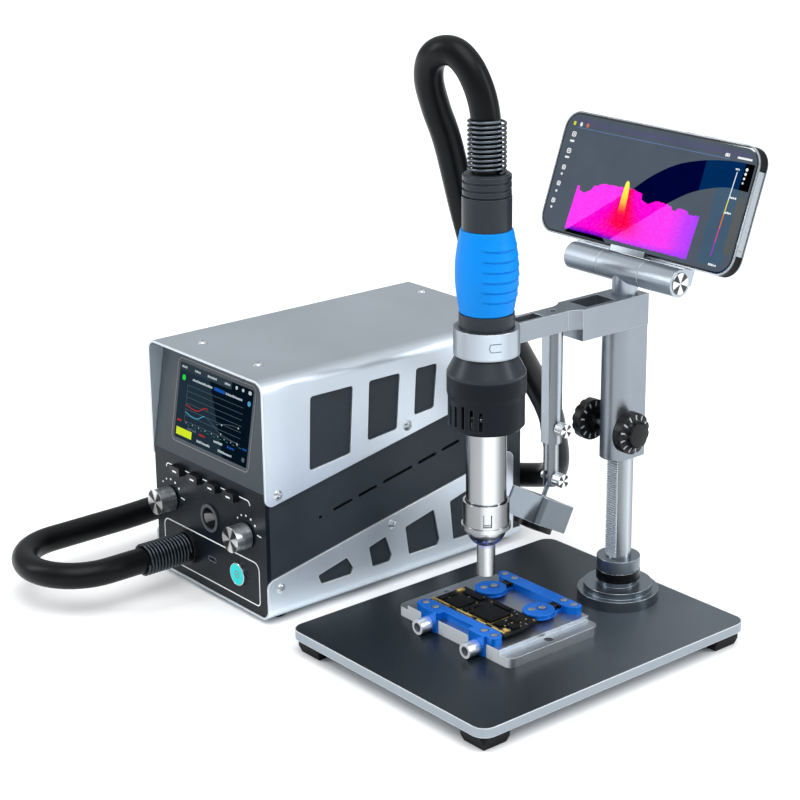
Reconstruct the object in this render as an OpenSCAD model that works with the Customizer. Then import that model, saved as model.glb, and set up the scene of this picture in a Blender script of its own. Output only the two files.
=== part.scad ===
// Hot air rework station: control unit, air hose, hot air handle and rack column stand.
// Z = 0 is the bench. X runs across the control unit, Y runs from its front to its back.
// The origin is the middle of the whole kit's footprint on the bench.

/* [Control unit] */
// Outer width of the silver covers
unit_w = 128; // [126:1:130]
// Outer length of the covers, front to back
unit_l = 217; // [215:1:220]
// Outer height of the covers, without the feet
unit_h = 160; // [159:1:162]
// Thickness of the folded cover sheet
sheet = 1.5; // [1.2:0.1:1.6]
// Radius of the folded long edges
fold_r = 8; // [7:1:9]
// Rise of the dark band per millimetre of length
band_slope = 0.193; // [0.18:0.01:0.2]

/* [Stand] */
// Width of the base plate
plate_w = 180; // [178:1:182]
// Length of the base plate
plate_l = 220; // [218:1:222]
// Thickness of the base plate
plate_t = 6; // [5:1:7]
// Outer diameter of the column
column_d = 16; // [15.8:0.1:16.2]
// Distance from the column to the handle's axis
reach = 112.5; // [111:0.5:114]

/* [Handle] */
// Outer diameter of the chrome heater tube
heater_d = 24; // [23.6:0.1:24.2]
// Outer diameter of the nozzle outlet, over which shaped nozzles slide
outlet_d = 11; // [10:0.5:12]
// Outer diameter of the air hose
hose_d = 17; // [16.5:0.1:17.2]

/* [Display and fixture] */
// Length of the display
display_w = 161; // [156:1:164]
// Height of the display
display_h = 78; // [72:1:80]
// Backward lean of the display in degrees
display_lean = 20; // [18:1:22]
// Depth of the circuit board between the clamping jaws
board_d = 30.6; // [30:0.1:30.8]

/* [Hidden] */
$fn = 64;

silver = [0.73, 0.77, 0.8];
dark = [0.2, 0.22, 0.25];
black = [0.06, 0.06, 0.07];
chrome = [0.85, 0.86, 0.88];
blue = [0.05, 0.4, 0.9];
green = [0.05, 0.25, 0.15];
brass = [0.8, 0.65, 0.3];

// Clearances: fit between pieces that stay put, and radial clearance of running pieces
gap = 0.2;
run = 0.05;
eps = 0.01;

// Where the three assemblies stand
unit_x = -82;
unit_y = -65;
foot_h = 3;
tool_x = 118.5;
tool_y = -3;
column_y = tool_y + reach;
plate_cx = 107.5;
plate_cy = 34.5;
plate_foot_h = 10;
plate_top = plate_foot_h + plate_t;
fixture_x = 98.5;
fixture_y = 24.5;

module at_unit() translate([unit_x, unit_y, foot_h]) children();
module at_tool() translate([tool_x, tool_y, 0]) children();
module at_column() translate([tool_x, column_y, 0]) children();
module at_fixture() translate([fixture_x, fixture_y, plate_top]) children();
module mirrored_x() { children(); mirror([1, 0, 0]) children(); }

// Round stock along the three axes
module rod_z(d, z0, z1) translate([0, 0, z0]) cylinder(d = d, h = z1 - z0);
module rod_x(d, x0, x1) translate([x0, 0, 0]) rotate([0, 90, 0]) cylinder(d = d, h = x1 - x0);
module rod_y(d, y0, y1) translate([0, y0, 0]) rotate([-90, 0, 0]) cylinder(d = d, h = y1 - y0);
module tube_z(od, id, z0, z1) difference() {
    rod_z(od, z0, z1);
    rod_z(id, z0 - 1, z1 + 1);
}
module tube_y(od, id, y0, y1) difference() {
    rod_y(od, y0, y1);
    rod_y(id, y0 - 1, y1 + 1);
}
// Block from one corner to the opposite corner
module block(a, b) translate(a) cube(b - a);
// A shape drawn in Y and Z, extruded along X from x0 to x1
module slab_x(x0, x1) translate([x0, 0, 0]) rotate([90, 0, 90]) linear_extrude(x1 - x0) children();
// A shape drawn in X and Z, extruded along Y from y0 to y1
module slab_y(y0, y1) translate([0, y1, 0]) rotate([90, 0, 0]) linear_extrude(y1 - y0) children();
module slab_z(z0, z1) translate([0, 0, z0]) linear_extrude(z1 - z0) children();

// Rectangle with true round corners, centred in X, from v0 to v1
module round_rect(w, v0, v1, r) {
    translate([-w / 2 + r, v0]) square([w - 2 * r, v1 - v0]);
    translate([-w / 2, v0 + r]) square([w, v1 - v0 - 2 * r]);
    for (x = [-1, 1], v = [v0 + r, v1 - r]) translate([x * (w / 2 - r), v]) circle(r);
}
// Outline of a polygon whose corners are rounded to radius r by n-step arcs
function unit2(v) = v / norm(v);
function corner(a, b, c, r, n) = let (
    u = unit2(a - b), v = unit2(c - b),
    half = acos(max(-1, min(1, u * v))) / 2,
    m = b + unit2(u + v) * r / sin(half),
    s = b + u * r / tan(half) - m,
    e = b + v * r / tan(half) - m,
    sweep = atan2(s.x * e.y - s.y * e.x, s * e))
    [for (i = [0 : n]) let (t = sweep * i / n)
        m + [s.x * cos(t) - s.y * sin(t), s.x * sin(t) + s.y * cos(t)]];
function rounded(p, r, n = 5) = let (k = len(p))
    [for (i = [0 : k - 1]) each corner(p[(i + k - 1) % k], p[i], p[(i + 1) % k], r, n)];

// ---- Swept round stock: hose and coil springs ----
function unit3(v) = v / norm(v);
function tangent(p, i) = unit3(p[min(i + 1, len(p) - 1)] - p[max(i - 1, 0)]);
function carry(n, t) = unit3(n - (n * t) * t);
function normals(p, n, i = 0) = let (m = carry(n, tangent(p, i)))
    i == len(p) - 1 ? [m] : concat([m], normals(p, m, i + 1));
module sweep(p, d, sides, start = [1, 0, 0]) {
    ns = normals(p, start);
    pts = [for (i = [0 : len(p) - 1]) let (t = tangent(p, i), n = ns[i], b = cross(t, n))
        for (k = [0 : sides - 1]) let (a = 360 * k / sides)
            p[i] + d / 2 * (cos(a) * n + sin(a) * b)];
    last = (len(p) - 1) * sides;
    skin = [for (i = [0 : len(p) - 2], k = [0 : sides - 1]) let (j = i * sides, k2 = (k + 1) % sides)
        [j + k, j + sides + k, j + sides + k2, j + k2]];
    faces = concat(skin, [[for (k = [0 : sides - 1]) k],
        [for (k = [sides - 1 : -1 : 0]) last + k]]);
    polyhedron(pts, faces, convexity = 8);
}
// Coil along +Z
module coil(d, wire, z0, z1, turns) sweep([for (i = [0 : turns * 14]) let (a = 360 * i / 14)
    [(d - wire) / 2 * cos(a), (d - wire) / 2 * sin(a),
        z0 + wire / 2 + (z1 - z0 - wire) * i / (turns * 14)]], wire, 6, [0, 0, 1]);

// ---- Control unit: values, in the unit's own frame ----
cover_edge_z = 77;
tray_edge_z = 27.5;
tray_l = 209;
fascia_y = 0.6;
fascia_t = 3;
crease_z = 86;
fascia_lean = 9.3;
panel_x = unit_w / 2 - sheet - gap;
panel_z0 = sheet + gap;
panel_z1 = unit_h - sheet - gap;
rear_t = 2;
screen_w = 82;
screen_h = 51;
screen_s = 37;
button_xs = [-33.2, -12.9, 7.4, 27.7];
button_z = 76.3;
knob_d = 17;
knob_front = -12.4;
knob_z = 53.4;
left_knob_x = -44.4;
right_knob_x = 41.3;
window_x = 0.4;
window_z = 52.4;
port_x = -26;
port_z = 24.5;
usb_x = 1;
power_x = 31.5;
power_z = 23.5;
power_d = 15.4;
inlet_x = 30;
inlet_z = 74;

function fascia_back(z) = fascia_y + fascia_t + max(0, z - crease_z) * tan(fascia_lean);
module fascia_frame() translate([0, fascia_y, crease_z]) rotate([-fascia_lean, 0, 0]) children();

// Side windows: [front, back, low front, low back, high] in Y and Z
upper_windows = [[36.5, 69.5, 94.5, 98.5, 143.5], [83.5, 108, 103.5, 106, 143.7],
    [122.5, 139.5, 112, 113.5, 143.7]];
lower_windows = [[39, 66, 21.5, 27.5], [81, 98.5, 29.5, 33.5], [112, 140, 35.5, 41.5],
    [151, 175, 43.5, 49]];
module window_shapes() {
    for (w = upper_windows)
        polygon(rounded([[w[0], w[4]], [w[1] + 1, w[4]], [w[1] - 2, w[3]], [w[0] - 2, w[2]]], 2));
    for (w = lower_windows)
        polygon(rounded([[w[0], w[2]], [w[1] - 3, w[3]], [w[1] + 2, 19], [w[1], 14.8],
            [w[0] + 3, 14.8]], 1.5));
}
// Screws: on the top, and on both sides
side_screws = [[9.5, 84.6], [115, 106.2], [195, 122], [10, 20.8], [101, 40.7], [198, 57]];
module unit_screw_places() {
    for (x = [-31, 31], y = [21, 207]) translate([x, y, unit_h]) children();
    mirrored_x() for (p = side_screws)
        translate([unit_w / 2, p[0], p[1]]) rotate([0, 90, 0]) children();
}
module unit_screw_holes(d) unit_screw_places() rod_z(d, -12, 3);

module top_cover() at_unit() color(silver) difference() {
    intersection() {
        slab_y(0, unit_l) difference() {
            round_rect(unit_w, -20, unit_h, fold_r);
            round_rect(unit_w - 2 * sheet, -25, unit_h - sheet, fold_r - sheet);
        }
        slab_x(-unit_w, unit_w) polygon(rounded([[0, cover_edge_z],
            [unit_l, cover_edge_z + band_slope * unit_l], [unit_l, unit_h + 30], [0, unit_h + 30]], 5));
    }
    slab_x(-unit_w, unit_w) window_shapes();
    unit_screw_holes(3.4);
}

module bottom_tray() at_unit() color(silver) difference() {
    intersection() {
        slab_y(0, unit_l) difference() {
            round_rect(unit_w, 0, unit_h, fold_r);
            round_rect(unit_w - 2 * sheet, sheet, unit_h + 20, fold_r - sheet);
        }
        union() {
            slab_x(-unit_w, unit_w) polygon(rounded([[0, -30], [tray_l, -30],
                [tray_l, tray_edge_z + band_slope * tray_l], [0, tray_edge_z]], 6));
            block([-unit_w, -1, -1], [unit_w, unit_l + 1, fold_r]);
        }
    }
    slab_x(-unit_w, unit_w) window_shapes();
    unit_screw_holes(3.4);
}

// Slots in the dark band, parallel to its edges
slot_lengths = [16, 16, 25.5, 16, 16];
slot_pitch = 5;
slot_start = [54, 62.4];
function slot_offset(i) = i == 0 ? 0 : slot_offset(i - 1) + slot_lengths[i - 1] + slot_pitch;
module band_slots() {
    translate([43.5, 60.3]) circle(1.3);
    translate(slot_start) rotate(atan(band_slope) + 0.6) for (i = [0 : len(slot_lengths) - 1])
        translate([slot_offset(i), 0]) {
            translate([1.2, -1.2]) square([slot_lengths[i] - 2.4, 2.4]);
            for (x = [1.2, slot_lengths[i] - 1.2]) translate([x, 0]) circle(1.2);
        }
}

module chassis() at_unit() color(dark) difference() {
    intersection() {
        slab_y(0, unit_l - rear_t - gap) difference() {
            round_rect(2 * panel_x, panel_z0, panel_z1, fold_r - sheet);
            round_rect(2 * panel_x - 4, panel_z0 + 2, panel_z1 - 2, fold_r - sheet - 2);
        }
        slab_x(-unit_w, unit_w) polygon([[fascia_back(0) + gap, -1],
            [fascia_back(0) + gap, crease_z], [fascia_back(unit_h) + gap, unit_h],
            [unit_l, unit_h], [unit_l, -1]]);
    }
    slab_x(-unit_w, unit_w) band_slots();
    unit_screw_holes(3.1);
}

module front_panel() at_unit() color(dark) difference() {
    intersection() {
        slab_x(-panel_x, panel_x) polygon([[fascia_y, panel_z0], [fascia_y, crease_z],
            [fascia_back(panel_z1) - fascia_t, panel_z1], [fascia_back(panel_z1), panel_z1],
            [fascia_back(0), crease_z], [fascia_back(0), panel_z0]]);
        slab_y(0, 20) round_rect(2 * panel_x, panel_z0, panel_z1, fold_r - sheet);
    }
    fascia_frame() translate([0, -5, screen_s]) block([-screen_w / 2 - gap, 0, -screen_h / 2 - gap],
        [screen_w / 2 + gap, 20, screen_h / 2 + gap]);
    for (x = button_xs) block([x - 5.7, -1, button_z - 3.2], [x + 5.7, 5, button_z + 3.2]);
    for (x = [left_knob_x, right_knob_x]) translate([x, 0, knob_z]) rod_y(6.6, -1, 5);
    translate([window_x, 0, window_z]) rod_y(16.2, -1, 5);
    translate([port_x, 0, port_z]) rod_y(20.2, -1, 5);
    translate([power_x, 0, power_z]) rod_y(power_d + 2 * run, -1, 5);
    translate([usb_x, 0, port_z - 1]) slab_y(-1, 5) round_rect(9.4, -1.8, 1.8, 1.7);
}

module rear_panel() at_unit() color(dark) difference() {
    slab_y(unit_l - rear_t, unit_l) round_rect(2 * panel_x, panel_z0, panel_z1, fold_r - sheet);
    for (z = [100 : 6 : 142]) translate([0, unit_l, z]) slab_y(-3, 1) round_rect(70, -1.5, 1.5, 1.4);
    translate([inlet_x, unit_l, inlet_z]) block([-14, -3, -10], [14, 1, 10]);
}

module screen_module() at_unit() color([0.05, 0.12, 0.25]) fascia_frame()
    translate([0, 0, screen_s]) {
        block([-screen_w / 2, 0.3, -screen_h / 2], [screen_w / 2, fascia_t + gap, screen_h / 2]);
        block([-screen_w / 2 - 4, fascia_t + gap, -screen_h / 2 - 3.5],
            [screen_w / 2 + 4, fascia_t + 7, screen_h / 2 + 3.5]);
    }

// Board behind the front panel: tact switches, rotary encoders, power switch and charging socket
module control_board() at_unit() color(green) {
    difference() {
        slab_y(11, 12.6) polygon([[-56, 44], [-10, 44], [-10, 12], [56, 12], [56, 84], [-56, 84]]);
        translate([window_x, 0, window_z]) rod_y(19, 10, 14);
    }
    for (x = button_xs) translate([x, 0, button_z]) {
        block([-3, 7, -3], [3, 11, 3]);
        rod_y(3, 6, 7);
    }
    for (x = [left_knob_x, right_knob_x]) translate([x, 0, knob_z]) difference() {
        union() {
            rod_y(9, 4, 6);
            block([-6, 6, -6], [6, 11, 6]);
        }
        rod_y(6 + 2 * run, 3, 10);
    }
    translate([power_x, 0, power_z]) block([-5, 6.2, -5], [5, 11, 5]);
    translate([usb_x, 0, port_z - 1]) difference() {
        slab_y(0.9, 11) round_rect(9, -1.6, 1.6, 1.5);
        slab_y(0, 8) round_rect(8.2, -1.2, 1.2, 1.1);
    }
}

// Rectangular key: proud front, and a flange that keeps it behind the panel
module button(i) at_unit() color(black) translate([button_xs[i], 0, button_z]) {
    slab_y(-3.6, fascia_y + fascia_t + run) round_rect(11, -3, 3, 0.8);
    block([-6.5, fascia_y + fascia_t + run, -4], [6.5, fascia_y + fascia_t + 1.3, 4]);
}

// Dished round button with a lit rim, kept behind the panel by a flange
module power_button() at_unit() color([0.1, 0.8, 0.85]) translate([power_x, 0, power_z])
    difference() {
        union() {
            rod_y(power_d, -1.6, fascia_y + fascia_t + run);
            rod_y(power_d + 2.4, fascia_y + fascia_t + run, fascia_y + fascia_t + 1.3);
        }
        rod_y(power_d - 6, -3, -1.1);
    }

module knob(x) at_unit() color(chrome) translate([x, 0, knob_z]) {
    rod_y(knob_d, knob_front, -0.6);
    rod_y(6, -0.7, 9.5);
}

module round_window() at_unit() color(black) translate([window_x, 0, window_z]) {
    tube_y(19.5, 14, -0.4, fascia_y);
    rod_y(16, fascia_y, 5);
}

// Threaded outlet bush with the barb that the hose pushes on to
module hose_port() at_unit() color(dark) translate([port_x, 0, port_z]) difference() {
    union() {
        rod_y(24, -3, fascia_y);
        rod_y(20, fascia_y, 20);
        rod_y(11.4, -14, -2);
    }
    rod_y(9, -15, 21);
}
module port_spring() at_unit() color(black) translate([port_x, -3.1, port_z]) rotate([90, 0, 0])
    coil(21.5, 2, 0, 34, 13);
module air_duct() at_unit() color([0.6, 0.2, 0.15]) translate([port_x, 0, port_z])
    tube_y(25, 20 + 2 * run, 13, 84);

// ---- Blower: scroll housing, impeller and motor ----
blower_x = 2;
blower_y = 132;
blower_r = 39;
module at_blower() at_unit() translate([blower_x, blower_y, 0]) children();
module blower_housing() at_blower() color(black) difference() {
    union() {
        rod_z(2 * blower_r, 9.5, 39.5);
        translate([port_x - blower_x, 0, port_z]) rod_y(20, -58, 0);
        for (a = [45 : 90 : 315]) rotate(a) translate([blower_r - 4, 0, 0]) rod_z(8, panel_z0 + 2, 10);
    }
    rod_z(2 * blower_r - 4, 11.5, 37.5);
    translate([port_x - blower_x, 0, port_z]) rod_y(17, -59, -5);
    for (a = [0 : 45 : 315]) rotate(a) translate([20, 0, 0]) rod_z(11, 37, 40);
    rod_z(6, 37, 40);
}
module impeller() at_blower() color([0.7, 0.7, 0.72]) difference() {
    union() {
        rod_z(60, 13.5, 15.5);
        rod_z(14, 13.5, 34);
        for (a = [0 : 36 : 324]) rotate(a) block([6, -0.8, 15], [30, 0.8, 34]);
    }
    rod_z(3, 20, 40);
}
module blower_motor() at_blower() color(chrome) {
    rod_z(27, 39.5, 66);
    rod_z(3 - 2 * run, 24, 39.5);
}

// ---- Power electronics ----
board_x = 52;
module main_board() at_unit() {
    color(green) block([board_x, 36, 66], [board_x + 1.6, 186, 148]);
    color(brass) for (y = [42, 180], z = [72, 142]) translate([0, y, z])
        rod_x(6, board_x + 1.6, panel_x - 2);
    color([0.75, 0.6, 0.2]) block([board_x - 32, 60, 84], [board_x, 96, 122]);
    color(chrome) block([board_x - 22, 106, 76], [board_x, 112, 136]);
    color(black) for (z = [86, 112]) translate([0, 136, z]) rod_x(20, board_x - 30, board_x);
    color(black) block([board_x - 10, 158, 80], [board_x, 176, 120]);
}
module mains_inlet() at_unit() color(black) translate([inlet_x, unit_l, inlet_z]) difference() {
    union() {
        block([-17, 0, -13], [17, 3, 13]);
        block([-13.8, -20, -9.8], [13.8, 0, 9.8]);
    }
    slab_y(-14, 4) polygon([[-11.5, -8], [11.5, -8], [11.5, 4], [7.5, 8], [-7.5, 8], [-11.5, 4]]);
    for (x = [-6, 0, 6]) translate([x, 0, x == 0 ? 2 : -2]) rod_y(2.4, -18, -13);
}

module unit_screws() at_unit() color(chrome) unit_screw_places() difference() {
    union() {
        intersection() {
            translate([0, 0, -3]) sphere(4.8);
            rod_z(7, 0, 3);
        }
        rod_z(3, -6, eps);
    }
    for (a = [0, 90]) rotate(a) block([-1.8, -0.4, 0.8], [1.8, 0.4, 3]);
}

// Round feet under the unit and tapered square feet under the plate
foot_w = 24;
plate_foot_inset = 14;
module rubber_feet() color(black) {
    at_unit() for (x = [-48, 48], y = [16, 198]) translate([x, y, 0]) rod_z(14, -foot_h, 0);
    for (sx = [-1, 1], sy = [-1, 1])
        translate([plate_cx + sx * (plate_w / 2 - plate_foot_inset),
            plate_cy + sy * (plate_l / 2 - plate_foot_inset), 0])
            intersection() {
                slab_x(-foot_w, foot_w) polygon([[-8.5, 0], [8.5, 0], [foot_w / 2, plate_foot_h],
                    [-foot_w / 2, plate_foot_h]]);
                slab_y(-foot_w, foot_w) polygon([[-8.5, 0], [8.5, 0], [foot_w / 2, plate_foot_h],
                    [-foot_w / 2, plate_foot_h]]);
                rotate(45) block([-14, -14, 0], [14, 14, plate_foot_h]);
            }
}

// ---- Handle: heights of its pieces above the bench ----
tip_z = 64.5;
dome_z = 95.5;
dome_r = 12.4;
clamp_top = 112;
lower_z0 = 158;
lower_step = 180;
vent_a = -79;
lower_z1 = 190;
cone_z0 = 191;
cone_z1 = 202;
ring_z0 = 202.6;
ring_z1 = 218.5;
neck_z1 = 227;
grip_z1 = 276;
boot_z0 = 295;
boot_z1 = 308;
spring_z1 = 339;
loop_z = 373.5;
neck_d = 32.3;

module nozzle() at_tool() color(chrome) difference() {
    union() {
        rod_z(outlet_d, tip_z, 87);
        intersection() {
            translate([0, 0, dome_z]) sphere(dome_r);
            rod_z(30, dome_z - dome_r - 1, dome_z);
        }
        rod_z(2 * dome_r, dome_z - eps, 100);
    }
    rod_z(outlet_d - 2, tip_z - 1, 90);
    translate([0, 0, dome_z]) sphere(dome_r - 1.4);
    rod_z(2 * dome_r - 2.8, dome_z, 101);
}
module nozzle_clamp() at_tool() color(chrome) difference() {
    union() {
        rod_z(27.7, 97, clamp_top);
        rod_z(29.6, 95, 97.5);
    }
    rod_z(25.2, 90, 120);
    rotate(-38) block([10, -2.6, 99], [16, 2.6, 101.2]);
    rotate(-38) for (y = [-2.6, 1.8]) block([10, y, 101], [16, y + 0.8, 107]);
}
module heater_tube() at_tool() color(chrome) tube_z(heater_d, heater_d - 2, 100.2, 166);
module heater_core() at_tool() color([0.9, 0.88, 0.82]) difference() {
    union() {
        rod_z(19, 108, 162);
        for (z = [112 : 6 : 154]) rod_z(20, z, z + 3);
    }
    rod_z(4, 107, 163);
    for (a = [0 : 60 : 300]) rotate(a) translate([6, 0, 0]) rod_z(3.6, 107, 163);
}
module lower_housing() at_tool() color(black) difference() {
    union() {
        translate([0, 0, lower_z0]) cylinder(d1 = 41.5, d2 = 45, h = 2);
        rod_z(45, lower_z0 + 2, lower_step - 3);
        translate([0, 0, lower_step - 3]) cylinder(d1 = 45, d2 = 46.4, h = 3);
        rod_z(46.4, lower_step, lower_z1);
    }
    rod_z(41, lower_z0 + 2.5, lower_z1 + 1);
    rod_z(heater_d + 0.2, lower_z0 - 1, lower_z0 + 4);
    for (a = [vent_a, vent_a + 180], i = [-2 : 2]) rotate(a + 14.5 * i)
        block([18, -1.1, 161.5], [26, 1.1, 175.5 - 1.2 * abs(i)]);
}
// Cone, neck and the inner barrel under the grip
module upper_housing() at_tool() color(black) difference() {
    union() {
        rod_z(40.8, lower_z1 - 4, cone_z0);
        rod_z(46.2, lower_z1 + gap, cone_z0 + 1);
        translate([0, 0, cone_z0 + 1]) cylinder(d1 = 46.2, d2 = 36, h = cone_z1 - cone_z0 - 1);
        rod_z(neck_d, cone_z1 - 1, neck_z1);
        rod_z(27, neck_z1, grip_z1 + 1);
        rod_z(28.6, grip_z1, boot_z0);
    }
    rod_z(22, lower_z1 - 5, boot_z0 - 8);
    rod_z(hose_d + 0.6, boot_z0 - 9, boot_z0 + 1);
}
// Soft sleeve: barrel-shaped, fullest at mid height
function grip_r(t) = 15.2 + 2.9 * sin(180 * t) + 0.5 * (1 - t);
module grip_sleeve() at_tool() color(blue) rotate_extrude() polygon(concat(
    [[13.6, neck_z1 + gap], [grip_r(0), neck_z1 + gap]],
    [for (i = [1 : 11]) [grip_r(i / 12), neck_z1 + gap + (grip_z1 - neck_z1 - 2 * gap) * i / 12]],
    [[grip_r(1), grip_z1 - gap], [13.6, grip_z1 - gap]]));
module hose_boot() at_tool() color(black) difference() {
    union() {
        rod_z(26, boot_z0, boot_z1);
        for (z = [boot_z0 + 1 : 4.2 : boot_z1 - 3]) rod_z(28, z, z + 2.8);
    }
    rod_z(hose_d + 0.6, boot_z0 - 1, boot_z1 + 1);
}
module hose_spring() at_tool() color(chrome) coil(22.5, 1.6, boot_z1 + 0.1, spring_z1, 10);

// ---- Hose: leaves the port forwards, loops back past the unit, and climbs to the handle ----
hose_z = foot_h + port_z;
hose_x0 = unit_x + port_x;
hose_turn_r = 35.5;
hose_turn_y = unit_y - 61;
hose_bulge = 11.5;
hose_bulge_y = 60;
hose_x1 = hose_x0 - 2 * hose_turn_r - hose_bulge;
hose_back_y = 161.5;
hose_corner_r = 34;
function arc_xy(cx, cy, r, a0, a1, z, n) = [for (i = [0 : n]) let (a = a0 + (a1 - a0) * i / n)
    [cx + r * cos(a), cy + r * sin(a), z]];
// Smooth curve through guide points, as cubic spans
function span(a, b, c, d, t) = 0.5 * ((2 * b) + (c - a) * t + (2 * a - 5 * b + 4 * c - d) * t * t
    + (3 * b - a - 3 * c + d) * t * t * t);
function spline(g, n) = [for (i = [1 : len(g) - 3], k = [0 : n - 1])
    span(g[i - 1], g[i], g[i + 1], g[i + 2], k / n)];
hose_climb = [
    [-130, hose_back_y, hose_z], [-95, hose_back_y, hose_z + 2], [-58, hose_back_y, hose_z + 9],
    [-24, hose_back_y, 45], [4, 158.5, 55], [20, 149, 71], [30, 136.5, 95],
    [tool_x - 78, 118, 126], [tool_x - 55, 50, 211], [tool_x - 55, 31, 262],
    [tool_x - 50.5, 12, 314], [tool_x - 48.5, 1, 337], [tool_x - 44, -8, 355],
    [tool_x - 37, -12, 367.5], [tool_x - 28, -12.3, loop_z], [tool_x - 18.5, -10, loop_z],
    [tool_x - 10, -7.7, 366.5], [tool_x - 4, -5.5, 355], [tool_x - 1, -3.8, 342],
    [tool_x, tool_y, 325], [tool_x, tool_y, 300]];
hose_path = concat(
    [[hose_x0, unit_y - 3.3, hose_z], [hose_x0, unit_y - 30, hose_z]],
    arc_xy(hose_x0 - hose_turn_r, hose_turn_y, hose_turn_r, 0, -180, hose_z, 12),
    [for (i = [1 : 6]) [hose_x1 + hose_bulge * (1 + cos(30 * i)) / 2,
        hose_turn_y + 40 + (hose_bulge_y - hose_turn_y - 40) * i / 6, hose_z]],
    arc_xy(hose_x1 + hose_corner_r, hose_back_y - hose_corner_r, hose_corner_r, 180, 90, hose_z, 6),
    spline(hose_climb, 3),
    [[tool_x, tool_y, 325], [tool_x, tool_y, boot_z0 + 1]]);
module hose() color(black) difference() {
    sweep(hose_path, hose_d, 16);
    sweep(concat([hose_path[0] + [0, 5, 0]], hose_path, [[tool_x, tool_y, boot_z0 - 5]]), 12.6, 12);
}

// ---- Stand ----
flange_d = 51.6;
column_top = 176;
carriage_z0 = 113;
carriage_z1 = 198;
arm_z1 = 217.5;
arm_z0 = 205.4;
carriage_w = 21;
carriage_round_y = -4.2;
carriage_back = 9.8;
rack_module = 0.5;
rack_pitch = PI * rack_module;
rack_line = -7.4;
rack_w = 9;
pinion_teeth = 10;
pinion_r = rack_module * pinion_teeth / 2;
pinion_w = 7;
pinion_y = rack_line - pinion_r;
pinion_z = 134;
camera_y = 49.3;

module plate_outline(inset) translate([plate_cx, plate_cy - plate_l / 2])
    round_rect(plate_w - 2 * inset, inset, plate_l - inset, 9 - inset);
module base_plate() color(dark) difference() {
    slab_z(plate_foot_h, plate_top) plate_outline(0);
    at_column() rod_z(6.2, 0, 20);
    at_column() rod_z(12, plate_foot_h - 1, plate_foot_h + 3);
}
// Stepped flange with a hub, a clamping collar, and the bolt that pulls it to the plate
module column_flange() at_column() color(silver) {
    difference() {
        union() {
            rod_z(flange_d, plate_top, plate_top + 7);
            rod_z(flange_d - 8, plate_top, plate_top + 11);
            rod_z(25, plate_top, 40);
            rod_z(27.5, 30, 36.6);
            rod_z(27.5, 37, 45);
        }
        rod_z(column_d, plate_top + 4, 46);
        rod_z(6.2, 0, 30);
    }
    rod_z(6, plate_foot_h + 0.2, plate_top + 14);
    rod_z(11, plate_foot_h + 0.2, plate_foot_h + 2.8);
}
module column() at_column() color(silver) difference() {
    rod_z(column_d, plate_top + 4, column_top);
    rod_z(6.2, plate_top, plate_top + 14.2);
    block([-rack_w / 2, -column_d, 46], [rack_w / 2, rack_line + 2.4, column_top + 1]);
}
// Half widths of a rack tooth at its tip and root
tooth_tip = 0.2;
tooth_root = 0.58;
rack_first = ceil((47 - pinion_z) / rack_pitch);
rack_last = floor((column_top - 1 - pinion_z) / rack_pitch) - 1;
module rack() at_column() color(chrome) slab_x(-rack_w / 2, rack_w / 2) polygon(concat(
    [[rack_line + 2.4, 46], [rack_line + 0.65, 46]],
    [for (k = [rack_first : rack_last]) let (z = pinion_z + (k + 0.5) * rack_pitch)
        each [[rack_line + 0.65, z - tooth_root], [rack_line - 0.5, z - tooth_tip],
            [rack_line - 0.5, z + tooth_tip], [rack_line + 0.65, z + tooth_root]]],
    [[rack_line + 0.65, column_top], [rack_line + 2.4, column_top]]));

// The running bore for the column, with the channel that clears the rack
module column_way(z0, z1) {
    rod_z(column_d + 2 * run, z0, z1);
    block([-rack_w / 2 - 0.3, rack_line - 0.9, z0], [rack_w / 2 + 0.3, 0, z1]);
}
module carriage() at_column() color(silver) difference() {
    union() {
        slab_z(carriage_z0, carriage_z1) translate([0, carriage_round_y]) circle(d = carriage_w);
        slab_z(carriage_z0, carriage_z1) translate([-carriage_w / 2, carriage_round_y])
            square([carriage_w, carriage_back - carriage_round_y]);
    }
    column_way(carriage_z0 - 1, carriage_z1 + 1);
    translate([0, pinion_y, pinion_z]) {
        rod_x(6.3, -pinion_w / 2 - gap, pinion_w / 2 + gap);
        rod_x(4 + 2 * run, -carriage_w, carriage_w);
    }
}

// Arm: block on the carriage, thinner arm with coved shoulders, and the ring that holds the handle
block_front = 65.7 - 109.5;
thin_w = 13;
cove_r = 14;
module arm_plan() {
    translate([-11, block_front]) square([22, carriage_back - block_front]);
    translate([-thin_w / 2, -reach + 17]) square([thin_w, reach - 17 + block_front + 1]);
    difference() {
        translate([-11, block_front - 10]) square([22, 10.5]);
        for (s = [-1, 1]) translate([s * (thin_w / 2 + cove_r), block_front - 12]) circle(cove_r);
    }
}
module tool_arm() at_column() color(silver) difference() {
    union() {
        slab_z(arm_z0, arm_z1) arm_plan();
        slab_z(carriage_z1, arm_z1) translate([-11, block_front - 2])
            square([22, carriage_back - block_front + 2]);
        translate([0, -reach, 0]) rod_z(38.6, ring_z0, ring_z1);
    }
    translate([0, -reach, 0]) rod_z(neck_d + 0.3, ring_z0 - 1, ring_z1 + 1);
    block([-8, block_front + 4, 208], [8, -16, arm_z1 + 1]);
    block([-4.5, -reach + 21, 209], [4.5, -72, arm_z1 + 1]);
    translate([0, camera_y - column_y, 0]) rod_z(4.1, arm_z0 - 1, arm_z1 + 1);
    rod_z(10 + 2 * run, 207, arm_z1 + 1);
    column_way(carriage_z1 - 1, 204.6);
}

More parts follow.
